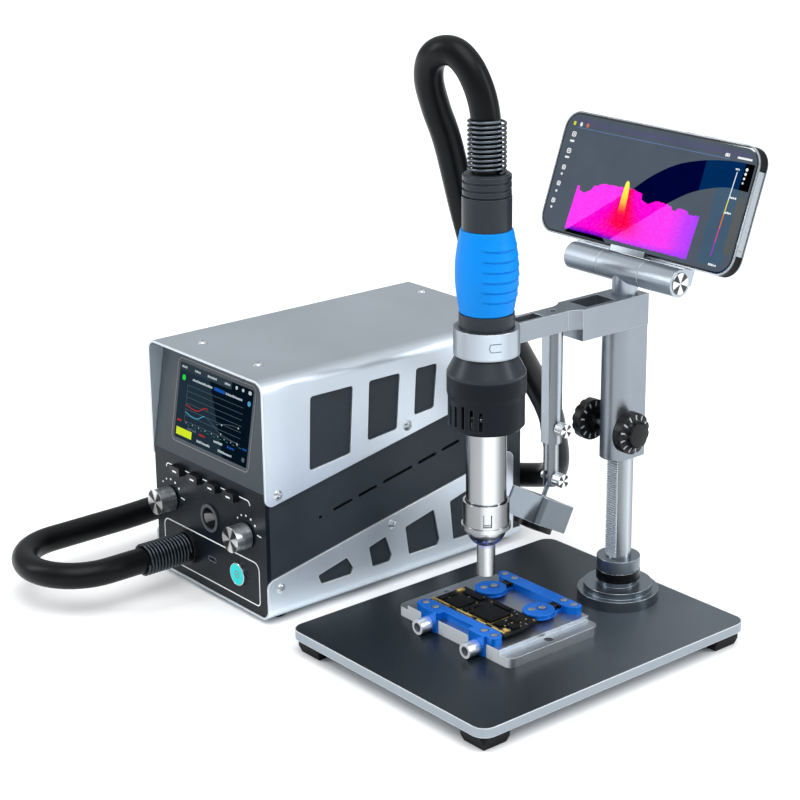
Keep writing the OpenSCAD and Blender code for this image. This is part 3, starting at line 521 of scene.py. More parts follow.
window_grey = Finish("window_grey", srgb(74, 80, 85), tint=0.05, grain=1300, bump=0.03, edge=0.2, edge_glint=0.3,
                     specular=0.2)
glass_dark = Finish("glass_dark", srgb(10, 12, 15), rough=0.06, tint=0.1, grain=300, bump=0.0, rough_vary=0.03,
                    edge=0, coat=0.6).on("screen_module", "display_slab")
Finish("duct_silicone", srgb(150, 62, 46), rough=0.55, tint=0.08, bump=0.1, edge_glint=0.15).on("air_duct")
Finish("blower_plastic", srgb(38, 40, 43), rough=0.5, tint=0.08, grain=1500, bump=0.15,
       edge_glint=0.2).on("blower_housing")
Finish("impeller_grey", srgb(170, 173, 176), rough=0.45, tint=0.05, grain=1200, bump=0.06, edge=0.3,
       edge_glint=0.2).on("impeller")
Finish("heater_ceramic", srgb(226, 220, 204), rough=0.6, grain=1000, bump=0.15, edge=0.3,
       edge_glint=0.1).on("heater_core")

# Springs, turned parts and fasteners
spring_black = Finish("spring_black", srgb(60, 66, 71), metal=0.9, rough=0.3, tint=0.1, grain=600, bump=0.0,
                      edge=0, specular=0.3).on("port_spring")
spring_steel = Finish("spring_steel", srgb(96, 104, 112), metal=1.0, rough=0.3, tint=0.08, grain=1500,
                      bump=0.04, edge=0).on("hose_spring")
chrome = Finish("heater_chrome", srgb(240, 244, 247), metal=1.0, rough=0.2, tint=0.02, cloud=40, grain=600,
                stretch=(1, 1, 0.04), bump=0.02, rough_vary=0.06, edge=0.3, edge_glint=0.2).on("heater_tube")
nozzle_steel = Finish("nozzle_steel", srgb(226, 229, 232), metal=1.0, rough=0.24, tint=0.05, cloud=60,
                      grain=500, bump=0.03, edge=0.3, edge_glint=0.3, edge_glint_colour=BRIGHT)
nozzle_steel.on("nozzle", "nozzle_clamp")
Finish("machined_steel", srgb(150, 158, 166), metal=0.95, rough=0.36, tint=0.03, cloud=12, grain=300,
       stretch=(0.05, 1, 1), bump=0.02, edge=0).on("pinion_shaft", "blower_motor")
screw_steel = Finish("screw_steel", srgb(196, 202, 208), metal=1.0, rough=0.26, tint=0.05, edge=0.25, edge_glint=0.5,
                     edge_glint_colour=BRIGHT).on("unit_screws")
grey_metal = Finish("grey_metal", srgb(112, 120, 128), metal=0.8, tint=0.05, grain=1300, bump=0.04, edge=0)
pin_grey = Finish("pin_grey", srgb(150, 158, 166), metal=0.8, rough=0.36, bump=0.06, edge=0)

# Fixture and boards
Finish("jaw_blue", srgb(0, 108, 212), metal=0.4, rough=0.34, grain=1200, bump=0.06, edge=0.5, edge_glint=0.5,
       edge_glint_colour=srgb(70, 150, 250), specular=0.25).on("front_jaw", "rear_jaw", "left_pad", "right_pad")
jaw_dark = Finish("jaw_dark", srgb(2, 52, 140), metal=0.2, grain=1200, edge=0)
Finish("board_green", srgb(24, 84, 52), **BOARD).on("main_board")
control_green = Finish("control_green", srgb(24, 84, 52), **BOARD).on("control_board")
Finish("board_black", srgb(15, 16, 18), tint=0.2, cloud=260, grain=1400, bump=0.08, edge=0.1, edge_glint=0.2,
       specular=0.1).on("circuit_board")
gold = Finish("contact_gold", srgb(240, 206, 116), metal=0.8, rough=0.28, tint=0.1, grain=1400, edge=0)
chip_black = Finish("chip_black", srgb(15, 17, 19), rough=0.5, tint=0.12, cloud=300, grain=1500, bump=0.06,
                    edge=0.12, edge_glint=0.5, edge_glint_colour=srgb(80, 86, 90), specular=0.06)

# Print
white_print = Finish("white_print", srgb(226, 230, 232), rough=0.5, **{**FINE_GREY, "tint": 0.03})
grey_print = Finish("grey_print", srgb(120, 126, 130), rough=0.5, **FINE_GREY)

# Painted reflection bands on metal, as (how far it faces along the axis, level)
KNOB_BANDS = [(0.0, 0.3), (0.1, 0.7), (0.26, 1.1), (0.4, 0.66), (0.58, 0.5), (0.7, 0.8), (0.84, 1.5),
              (0.93, 1.2), (1.0, 0.7)]
FACE_BANDS = [(0.0, 0.8), (0.25, 1.0), (0.5, 1.3), (0.75, 1.5), (1.0, 1.3)]
HEATER_BANDS = [(0.0, 0.08), (0.05, 0.2), (0.16, 0.3), (0.36, 0.38), (0.47, 0.8), (0.6, 1.0), (0.72, 0.66),
                (0.83, 0.3), (0.93, 0.14), (1.0, 0.05)]
COLUMN_BANDS = [(0.0, 0.35), (0.12, 0.62), (0.3, 0.42), (0.5, 0.36), (0.7, 0.62), (0.82, 0.9), (0.92, 0.5),
                (1.0, 0.25)]
TUBE_BANDS = [(0.0, 0.5), (0.08, 0.95), (0.2, 0.7), (0.42, 0.42), (0.6, 0.36), (0.72, 0.3), (0.8, 0.9),
              (0.88, 0.95), (0.94, 0.4), (1.0, 0.3)]
RING_BANDS = [(0.0, 0.9), (0.07, 1.3), (0.16, 1.1), (0.3, 1.5), (0.45, 1.9), (0.56, 2.1), (0.68, 2.1),
              (0.82, 1.4), (0.94, 1.5), (1.0, 1.0)]
RING_MIDDLE = (TOOL.x, TOOL.y, 0.2115)
UP = (0, 0, 1)

# Painted reflection bands on the clamping screws, by how far each face faces up
jaw_steel = Finish("jaw_screw_steel", srgb(206, 212, 218), metal=0.9, rough=0.34, tint=0.05, cloud=60,
                   grain=600, bump=0.02, edge=0.3, edge_glint=0.7, edge_glint_colour=BRIGHT).paint_reflection_bands(FACE_BANDS, UP)
jaw_steel.on("left_jaw_screw", "right_jaw_screw")


def shape_finishes():
    """Colour that depends on where a surface lies and which way it faces, much of it painted light and shade."""
    # The plate's far corner lies in more light, painted lighter. Its sides are bare metal, and its edges get a
    # painted highlight.
    plate = plate_dark
    across = plate.maths("ADD", plate.times(plate.position(0), 0.66), plate.times(plate.position(1), 0.75))
    inner, side = plate.fit(plate.edge_mask, 0, 1, 1, 0), plate.facing(2, 0.4, 0.5, 1, 0)
    plate.mix_in(plate.times(plate.fit(across, 0.1, 0.21), inner), srgb(72, 80, 88))
    plate.mix_in(side, srgb(150, 160, 168)).mix_in(plate.edge_mask, BRIGHT)
    plate.set("Metallic", plate.times(plate.times(side, inner), 0.8))
    # Switches, encoders and sockets stand in front of the control board
    ahead = control_green.lying(1, UNIT_FRONT + 10.7 * MM, UNIT_FRONT + 10.8 * MM, 1, 0)
    control_green.mix_in(ahead, srgb(52, 56, 60))
    # Folded sheet and the fixture: painted shade darkens the tops; painted light brightens the cover's sides,
    # most towards the front
    for finish, top_shade, side_light in ((cover, 0.76, 1.22), (fixture_silver, 0.6, 1.0)):
        finish.level(finish.facing(2, 0.5, 0.95), top_shade)
        sideways = finish.facing(0, 0.5, 0.95)
        finish.level(sideways, side_light)
        if finish is cover:
            finish.level(finish.times(sideways, finish.lying(1, -0.065, -0.02, 1, 0)), 1.28)
    # Faces towards the front are made pale and less metallic
    for finish in (fixture_silver, jaw_steel):
        front = finish.facing(1, -0.9, -0.6, 1, 0)
        finish.mix_in(finish.times(front, 0.7), srgb(226, 231, 236))
        finish.set("Metallic", finish.fit(front, 0, 1, 0.95, 0.15))
    # The leaning upper panel catches more light: painted lighter, more so towards its top
    upper = panel_dark.mix(panel_dark.lying(2, 0.09, 0.165), srgb(52, 60, 67), srgb(72, 80, 86))
    panel_dark.mix_in(panel_dark.facing(2, 0.05, 0.12), upper)
    # Painted reflections: light and dark bands on round metal
    chrome.paint_reflection_bands(HEATER_BANDS)
    nozzle_steel.paint_reflection_bands(HEATER_BANDS)
    round_silver.paint_reflection_bands(COLUMN_BANDS)
    tube_silver.paint_reflection_bands(TUBE_BANDS)
    # The arm's ring is turned, unlike the flat arm, and gets painted reflection bands
    arm = stand_silver
    away = arm.node("VectorMath", {0: arm.coordinates, 1: RING_MIDDLE}, operation="DISTANCE").outputs["Value"]
    ring = arm.times(arm.fit(away, 0.0208, 0.0212, 1, 0), arm.facing_either(2, 0.5, 0.7, 1, 0))
    arm.paint_reflection_bands(RING_BANDS, mask=ring)
    # Heat tint near the outlet under the dome
    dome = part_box("nozzle")[0].z + 20.5 * MM
    height = nozzle_steel.position(2)
    below = nozzle_steel.fit(height, dome - 3 * MM, dome)
    above = nozzle_steel.fit(height, dome, dome + 8 * MM, 1, 0)
    nozzle_steel.mix_in(nozzle_steel.times(nozzle_steel.times(below, above), 0.75), srgb(110, 116, 190))


def turn_screws_and_knobs():
    """A turned finish on each, with painted reflection bands along its side, fine slanting brush marks and
    painted highlight wedges on its end.
    """
    for node, axis in (("left_knob", 1), ("right_knob", 1), ("tube_screw", 0), ("rod_screw", 0),
                       ("cradle_axle", 0)):
        finish = Finish("turned_" + node, srgb(206, 212, 217), metal=0.95, rough=0.3, tint=0.05, cloud=40,
                        grain=420, stretch=(1, 1, 0.12), bump=0.01, rough_vary=0.05, edge=0.3, edge_glint=0.5,
                        edge_glint_colour=BRIGHT)
        finish.paint_reflection_bands(KNOB_BANDS, UP).paint_spun_highlights(mid(node), axis)
        slant = finish.noise(160, (1, 6, 1), 2)
        finish.level(finish.fit(slant, 0.52, 0.6), 1.3).on(node)


shape_finishes()
turn_screws_and_knobs()


# ---------------------------------------------------------------- hose and springs

HOSE_D = 17
PORT = mid("hose_port")
PORT_X, PORT_Z = PORT.x / MM, PORT.z / MM
HOSE_FRONT = UNIT_FRONT / MM


def hose_centre():
    """Centre line of the hose: forward out of the port, round, back past the unit and up to the handle."""
    turn_r, corner_r, back_y, bulge = 35.5, 34, 161.5, 11.5
    x, y = TOOL.x / MM, TOOL.y / MM
    left = PORT_X - 2 * turn_r - bulge
    turn_y, bulge_y = HOSE_FRONT - 61, 60
    path = [(PORT_X, HOSE_FRONT - 3.3, PORT_Z), (PORT_X, HOSE_FRONT - 20, PORT_Z),
            (PORT_X, HOSE_FRONT - 38, PORT_Z)]
    path += [(u, v, PORT_Z) for u, v in arc(PORT_X - turn_r, turn_y, turn_r, 0, -180, 24)]
    path += [(left + bulge * (1 + math.cos(math.pi * k / 12)) / 2,
              turn_y + 40 + (bulge_y - turn_y - 40) * k / 12, PORT_Z) for k in range(1, 13)]
    path += [(u, v, PORT_Z) for u, v in arc(left + corner_r, back_y - corner_r, corner_r, 180, 90, 10)]
    climb = [(-130, back_y, PORT_Z), (-95, back_y, PORT_Z + 2), (-58, back_y, PORT_Z + 9),
             (-24, back_y, 45), (4, 158.5, 55), (20, 149, 71), (30, 136.5, 95), (x - 78, 118, 126),
             (x - 55, 50, 211), (x - 55, 31, 262), (x - 50.5, 12, 314), (x - 48.5, 1, 337),
             (x - 44, -8, 355), (x - 37, -12, 367.5), (x - 28, -12.3, 373.5), (x - 18.5, -10, 373.5),
             (x - 10, -7.7, 366.5), (x - 4, -5.5, 355), (x - 1, -3.8, 342), (x, y, 325), (x, y, 300)]
    path += [tuple(p) for p in along(climb, 160)]
    path.append((x, y, 296))
    return [Vector(p) * MM for p in path]


def coil(solid, place, diameter, wire, low, high, turns, material):
    """A coil about the place's d axis, at an even pitch."""
    steps = int(turns * 28)
    path = []
    for k in range(steps + 1):
        t = k / steps
        angle = 2 * math.pi * turns * t
        rise = low + wire / 2 + (high - low - wire) * t
        radius = (diameter - wire) / 2
        path.append(place.at(radius * math.cos(angle), radius * math.sin(angle), rise))
    solid.tube(path, wire / 2, material, sides=10)


def make_hose():
    hose = Solid().tube(hose_centre(), HOSE_D / 2, hose_rubber.material, sides=40)
    made = hose.done("air_hose", None, "hose_rubber", 60)
    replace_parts(made, "hose")
    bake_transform(made)
    port = Place((PORT.x, UNIT_FRONT - 3.1 * MM, PORT.z), (1, 0, 0), (0, 0, 1))
    spring = Solid()
    coil(spring, port, 21.5, 2.0, 0, 34, 13, spring_black.material)
    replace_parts(spring.done("port_strain_coil", "root", "spring_black", 60), "port_spring")
    low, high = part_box("hose_spring")
    upper = Solid()
    coil(upper, tool, 22.5, 1.6, low.z / MM, high.z / MM, 11, spring_steel.material)
    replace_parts(upper.done("handle_strain_coil", "carriage", "spring_steel", 60), "hose_spring")


make_hose()


# ---------------------------------------------------------------- grip

def make_grip():
    """Barrel-shaped sleeve with six shallow thumb ridges on the side away from the unit."""
    low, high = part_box("grip_sleeve")
    z0, z1 = low.z / MM, high.z / MM
    across, up = 120, 168
    ridge_z = [z0 + 9.5 + 5.9 * k for k in range(6)]

    def radius(t):
        return 15.2 + 2.9 * math.sin(math.pi * t) + 0.5 * (1 - t)

    def ridge(angle, z):
        """Height of the ridges: a crisp lower lip that fades upwards, bowed like a smile."""
        off = (angle + math.pi) % (2 * math.pi) - math.pi
        half = math.radians(52)
        if abs(off) > half:
            return 0.0
        bow = 1.6 * (1 - math.cos(off)) * 1.5
        fade = min(1.0, (half - abs(off)) / math.radians(7))
        rise = 0.0
        for centre in ridge_z:
            t = z - centre - bow
            if -1.15 < t <= -0.5:
                rise = min(rise, -0.8)
            if -0.5 < t < 3.4:
                rise = max(rise, min(1.0, (t + 0.5) / 0.6) * max(0.0, 1 - max(0.0, t) / 3.4))
        return 0.55 * rise * fade - 0.12 * fade

    rings = []
    for i in range(up + 1):
        t = i / up
        z = z0 + (z1 - z0) * t
        lip = min(1.0, min(t, 1 - t) * (z1 - z0) / 0.8)
        shrink = 0.5 * (1 - math.sqrt(max(0.0, 1 - (1 - lip) ** 2)))
        rings.append([tool.at(*(c * (radius(t) - shrink + ridge(a, z)) for c in (math.cos(a), math.sin(a))), z)
                      for a in (2 * math.pi * k / across for k in range(across))])
    inner = [[tool.at(13.6 * math.cos(a), 13.6 * math.sin(a), z)
              for a in (2 * math.pi * k / across for k in range(across))] for z in (z1, z0)]
    grip = Solid().skin(rings + inner, grip_blue.material, closed_loop=True)
    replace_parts(grip.done("soft_grip", "carriage", "grip_blue", 50), "grip_sleeve")


make_grip()


# ---------------------------------------------------------------- front panel

def make_panel_marks():
    marks = Solid()
    white = white_print.material
    # Outline round the port, the socket and the power switch
    outer = (arc(48.4, 31.6, 5.2, 90, 0, 5) + arc(50.6, 10.6, 3, 0, -90, 4) + arc(-51.4, 10.6, 3, -90, -180, 4)
             + arc(-49.2, 31.6, 5.2, 180, 90, 5))
    closed = outer + [outer[0]]
    marks.strip(panel, closed, 0.8, white)
    # Bracket behind the keys, hooked down at both ends
    left_key, right_key = (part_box("button_1")[0].x - UNIT_X) / MM, (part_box("button_4")[1].x - UNIT_X) / MM
    marks.strip(panel, arc(-45.9, 74.4, 3, 180, 90, 5) + [(left_key - 0.4, 77.4)], 0.7, white)
    marks.strip(panel, [(right_key + 0.4, 77.4)] + arc(42.9, 74.4, 3, 90, 0, 5), 0.7, white)
    for k in range(3):
        a = (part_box(f"button_{k + 1}")[1].x - UNIT_X) / MM + 0.2
        b = (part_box(f"button_{k + 2}")[0].x - UNIT_X) / MM - 0.2
        marks.strip(panel, [(a, 77.4), (b, 77.4)], 0.7, white)
    # Five dots and an end dash round each knob
    for node in ("left_knob", "right_knob"):
        axis = mid(node)
        knob = panel.moved(u=(axis.x - UNIT_X) / MM, v=(axis.z - UNIT_FLOOR) / MM)
        for k in range(5):
            angle = math.radians(137 - 23.3 * k)
            dot = disc(0.62 + 0.06 * k, 13 * math.cos(angle), 13 * math.sin(angle), 14)
            marks.prism(knob, dot, -0.02, 0.06, white)
        marks.strip(knob, [(11.4, 3.3), (15.8, 2.9)], 0.7, white)
    marks.done("panel_marks", "root", "panel_dark")


def glyphs(solid, place, u, v, width, height, tone, high, low, seed):
    """A row of small upright blocks that reads as a line of print but spells nothing."""
    rng = random.Random(seed)
    here, end = u - width / 2, u + width / 2
    while here < end - 0.3:
        wide = min(rng.uniform(0.5, 1.1), end - here)
        tall = height * rng.uniform(0.7, 1.0)
        solid.bar(place, here + wide / 2, v + (tall - height) / 2, wide, tall, tone, high=high, low=low)
        here += wide + rng.uniform(0.22, 0.5)


def make_screen():
    surround = Finish("screen_bezel", srgb(58, 65, 71), rough=0.35, tint=0.05, grain=1400, bump=0.05, edge=0,
                      specular=0.2)
    bright = Finish("screen_bezel_edge", srgb(112, 119, 124), rough=0.35, tint=0.05, grain=1400, bump=0.03,
                    edge=0)
    bezel = Solid()
    outer = round_box(87, 56, 4.2, steps=8)
    bezel.ring(screen, outer, round_box(81.6, 50.6, 1.4, steps=8), 0.0, 0.4, surround.material)
    bezel.ring(screen, outer, inset(outer, 0.45), 0.38, 0.5, bright.material)
    bezel.done("screen_surround", "root", "panel_dark")

    make_screen_picture()


def make_screen_picture():
    """Status bar, two curves over a grid with their ticks, and rows of blocks."""
    night, painted_sheen, status, faint, white, red, sky, deep, green, lime, teal = glows(
        "screen", ("night", 6, 20, 32, 0.9), ("painted_sheen", 34, 50, 62, 0.9), ("status", 48, 62, 72, 0.9),
        ("grid", 88, 104, 114, 0.9), ("white", 196, 208, 214, 0.9), ("red", 190, 44, 44, 0.95),
        ("sky", 80, 160, 205, 0.95), ("deep", 26, 84, 170, 0.95), ("green", 40, 214, 70, 1.0),
        ("lime", 206, 226, 44, 1.0), ("teal", 40, 110, 96, 0.9))
    art = Solid()

    def bar(u, v, width, height, tone, low=0.05, high=0.12, radius=0.0):
        art.bar(screen, u, v, width, height, tone, high=high, low=low, radius=radius)

    half_w, half_h = 40.6, 25.1
    status_v = half_h - 2.6
    bar(0, 0, 2 * half_w, 2 * half_h, night, -0.05, 0.04)
    # Painted reflection: a paler sheet across the screen's left part, bounded by a slanting line
    art.prism(screen, [(-half_w, half_h), (-half_w, -half_h), (14, -half_h), (-10, half_h)], 0.03, 0.06, painted_sheen)
    bar(-12, status_v, 2 * half_w - 24, 5.2, status, 0.03, 0.08)
    for k, (u, width) in enumerate(((-36, 6), (-21, 7), (-5, 10), (12, 6))):
        glyphs(art, screen, u, status_v, width, 1.5, white, 0.12, 0.07, k)
    for u, width, height, radius in ((22, 2.2, 2.2, 0.7), (29, 2.4, 2.0, 0.9), (36.5, 3.4, 2.4, 1.1)):
        bar(u, status_v, width, height, white, 0.07, radius=radius)
    art.prism(screen, disc(1.9, -36, 15.4, 20), 0.07, 0.12, green)
    art.prism(screen, disc(1.7, 36.6, 15.6, 20), 0.07, 0.12, sky)
    glyphs(art, screen, -15, 16.2, 22, 1.5, white, 0.12, 0.07, 11)
    bar(4, 16.2, 12, 2.2, deep, 0.07, 0.1)
    glyphs(art, screen, 20, 16.2, 18, 1.5, white, 0.12, 0.07, 12)
    for k in range(7):
        bar(0, 11.5 - 4.0 * k, 62, 0.24, faint, high=0.1)
    bar(-31, -1, 0.24, 26, faint, high=0.1)
    wave = smooth_line([(-31, -1.5), (-24, -2.8), (-17, -2.6), (-11, 0.6), (-7, 0.8), (-2, -3), (4, -6)], 40)
    art.strip(screen, wave[:28], 0.55, red, high=0.13, low=0.05)
    lower = [(u, v - 5.6 + 0.02 * abs(u)) for u, v in wave]
    art.strip(screen, lower[:24], 0.55, sky, high=0.13, low=0.05)
    for guides in ([(4, -6), (12, -4), (20, -2.6), (28, -2.4)], [(-7, -4.6), (2, -8), (10, -11), (29, -12.6)]):
        art.strip(screen, smooth_line(guides, 20), 0.3, faint, high=0.12, low=0.05)
    for u, v in ((10, -5), (28, -2.4), (10, -11), (28, -12.6)):
        art.prism(screen, disc(0.6, u, v, 10), 0.08, 0.15, white)
    for k in range(9):
        bar(-29 + 7.2 * k, -13.4, 0.5, 0.8, white)
        bar(-26 + 7.2 * k, -14.4, 2.6, 0.5, teal)
    bar(-37, -13.4, 4.4, 1.2, red)
    bar(-30.5, -20.6, 17.5, 5.0, lime)
    for k, (u, v, width, tone) in enumerate((
            (-22, -16.6, 10, faint), (-10, -17.2, 7, red), (8, -17.2, 10, white), (22, -17.0, 8, deep),
            (-8, -22, 15, white), (16, -22, 15, white), (36.5, -14, 5, deep))):
        glyphs(art, screen, u, v, width, 1.6, tone, 0.12, 0.05, 20 + k)
    bar(36, -21, 3.0, 2.8, faint, radius=0.8)
    art.done("screen_picture", "root", "screen_glass")


def make_controls():
    # A plain bar on each key
    for k in range(4):
        low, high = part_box(f"button_{k + 1}")
        key = Place(((low.x + high.x) / 2, low.y, (low.z + high.z) / 2), (1, 0, 0), (0, 0, 1))
        mark = Solid()
        mark.bar(key, 0, -0.3, 4.6, 1.1, white_print.material, high=0.06, low=-0.05, radius=0.5)
        mark.done(f"key_mark_{k + 1}", f"button_{k + 1}", "key_black")
    # Power switch: bright rim, lit field and a plain centre disc
    low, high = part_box("power_button")
    middle = mid("power_button")
    switch = Place((middle.x, low.y, middle.z), (1, 0, 0), (0, 0, 1))
    lit = glow("switch_light", srgb(64, 214, 214), 1.1)
    pad = Solid()
    size = (high.x - low.x) / 2 / MM
    rim = size - 1.2
    pad.lathe(switch, [(rim - 0.5, -5.2), (rim - 0.5, -0.25), (rim - 0.8, 0.0), (rim - 1.3, -0.35),
                       (0.02, -0.35)], lit)
    pad.lathe(switch, [(size, -6.5), (size, -5.25), (0.02, -5.25)], black_satin.material)
    pad.lathe(switch, [(rim, -5.2), (rim, -0.3), (rim - 0.25, 0.0), (rim - 0.6, 0.0), (rim - 0.6, -5.2)],
              screw_steel.material, hollow=True)
    pad.ring(switch, disc(3.0, steps=6), disc(2.2, steps=6), -0.4, -0.2, grey_print.material)
    pad.bar(switch, 0, 0, 1.5, 1.5, grey_print.material, high=-0.18, low=-0.4, radius=0.6)
    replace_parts(pad.done("power_switch", "power_button", "button_lit"), "power_button")
    # Sensor window with a grey rim
    window = Place((mid("round_window").x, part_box("round_window")[0].y, mid("round_window").z), (1, 0, 0),
                   (0, 0, 1))
    rim = Solid()
    rim.lathe(window, [(9.75, -1.0), (9.75, -0.3), (9.35, 0.05), (7.6, 0.05), (7.2, -0.3), (7.2, -1.0)],
              window_grey.material, hollow=True)
    rim.lathe(window, [(7.1, -1.0), (7.1, -0.55), (5.0, -0.35), (0.02, -0.25)], glass_dark.material)
    rim.done("sensor_window", "root", "key_black")
    # Charging socket rim, with a black block set back in its opening as painted shade
    usb = panel.moved(u=1, v=23.5)
    socket = Solid()
    socket.ring(usb, round_box(9.3, 3.5, 1.7), round_box(8.1, 2.3, 1.1), -0.3, 0.1, grey_metal.material)
    socket.bar(usb, 0, 0, 8.1, 2.3, black_satin.material, high=-1.6, low=-2.6, radius=1.1)
    socket.done("socket_rim", "root", "screw_steel")


make_panel_marks()
make_screen()
make_controls()


# ---------------------------------------------------------------- display in the cradle

def thermal_colour(u, v, left, right, bottom):
    """Colour of the thermal relief: pink, deeper in the clear band, violet at its rim, red at its hill."""
    s = (u - left) / (right - left)
    pink, magenta, violet, blue = (1.0, 0.05, 0.88), (1.0, 0.0, 0.66), (0.36, 0.06, 0.95), (0.03, 0.0, 0.5)
    clear = v < -1.1 + 0.74 * (u + 10.1) and v > -4.2 + 0.758 * (u - 21.8)
    colour = Vector(magenta if clear else pink)
    colour = colour.lerp(Vector(violet), min(1.0, max(0.0, (s - 0.8) / 0.14)) * 0.8)
    foot = min(1.0, max(0.0, (bottom + 4.2 - v) / 3.4))
    colour = colour.lerp(Vector(blue if clear else violet), foot * (0.95 if clear else 0.35 + 0.6 * s))
    colour = colour.lerp(Vector(violet), min(1.0, max(0.0, (s - 0.965) / 0.03)) * 0.8)
    spread = 4.5 + 0.5 * max(0.0, -6 - v)
    heat = math.exp(-((u + 12.8) / spread) ** 2) * min(1.0, max(0.0, (v + 34) / 11)) * (v < -1)
    return colour.lerp(Vector((1.0, 0.0, 0.03) if clear else (1.0, 0.02, 0.12)), min(1.0, 1.25 * heat))


def make_relief():
    """The jagged thermal relief, coloured point by point."""
    random.seed(11)
    left, right, bottom = -57.4, 45.4, -34.4
    guides = [(-57.4, -6.4), (-55.6, -6.4), (-54.8, -9.4), (-50, -10), (-46.3, -8.3), (-43.3, -4.6),
              (-34.8, -1.9), (-21, -1.4), (-14.5, -0.9), (-4.8, -2.3), (-3.4, -2.6), (-2.9, -6), (4, -7.6),
              (9.6, -4.8), (19, -5.6), (22, -5.8), (23, -8), (26.4, -8), (27.4, -6.4), (35.5, -6.3),
              (37, -8.3), (45.4, -7.8)]
    columns, rows = 120, 40
    mesh_points, colours = [], []
    drop = 0.0
    for i in range(columns + 1):
        u = left + (right - left) * i / columns
        for (u0, v0), (u1, v1) in zip(guides, guides[1:]):
            if u0 <= u <= u1:
                top = v0 + (v1 - v0) * (u - u0) / (u1 - u0)
        if i % 2 == 0:
            drop = random.uniform(-0.4, 0.4)
        foot = bottom + 0.5 * random.random()
        for j in range(rows + 1):
            v = foot + (top + drop - foot) * j / rows
            place = u + 0.06 * (v - bottom)
            mesh_points.append((place, v))
            speck = random.uniform(-0.015, 0.015)
            tone = thermal_colour(place, v, left, right, bottom)
            if place > 20 and random.random() < 0.03:
                tone = tone.lerp(Vector((0.2, 0.12, 0.9)), 0.5)
            colours.append([min(1.0, max(0.0, c + speck)) for c in tone] + [1.0])
    low, high = 0.22, 0.3
    count = len(mesh_points)
    verts = [display.at(u, v, high) for u, v in mesh_points] + [display.at(u, v, low) for u, v in mesh_points]
    faces = []

    def spot(i, j):
        return i * (rows + 1) + j
    for i in range(columns):
        for j in range(rows):
            quad = (spot(i, j), spot(i + 1, j), spot(i + 1, j + 1), spot(i, j + 1))
            faces.append(quad)
            faces.append(tuple(count + k for k in reversed(quad)))
    edge = ([spot(i, 0) for i in range(columns + 1)] + [spot(columns, j) for j in range(1, rows + 1)]
            + [spot(i, rows) for i in range(columns - 1, -1, -1)] + [spot(0, j) for j in range(rows - 1, 0, -1)])
    for a, b in zip(edge, edge[1:] + edge[:1]):
        faces.append((a, a + count, b + count, b))
    return verts, faces, colours + colours


def paint_material():
    """Light whose colour comes from the mesh's own colour attribute."""
    finish = Finish("relief_light", (0.05, 0.0, 0.05, 1), rough=0.3, bump=0.0, edge=0, specular=0.0)
    finish.set("Emission Color", finish.node("VertexColor", layer_name="tone").outputs[0])
    finish.set("Emission Strength", 1.0)
    return finish.material


def painted_piece(name, verts, faces, colours, material, body):
    mesh = bpy.data.meshes.new(name)
    mesh.from_pydata(verts, [], faces)
    tones = mesh.color_attributes.new("tone", "FLOAT_COLOR", "POINT")
    for i, colour in enumerate(colours):
        tones.data[i].color = colour
    mesh.materials.append(material)
    work = bmesh.new()
    work.from_mesh(mesh)
    bmesh.ops.recalc_face_normals(work, faces=work.faces)
    work.to_mesh(mesh)
    work.free()
    made = bpy.data.objects.new(name, mesh)
    bpy.context.scene.collection.objects.link(made)
    made.visible_glossy = made.visible_diffuse = False
    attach(made, body)
    return made


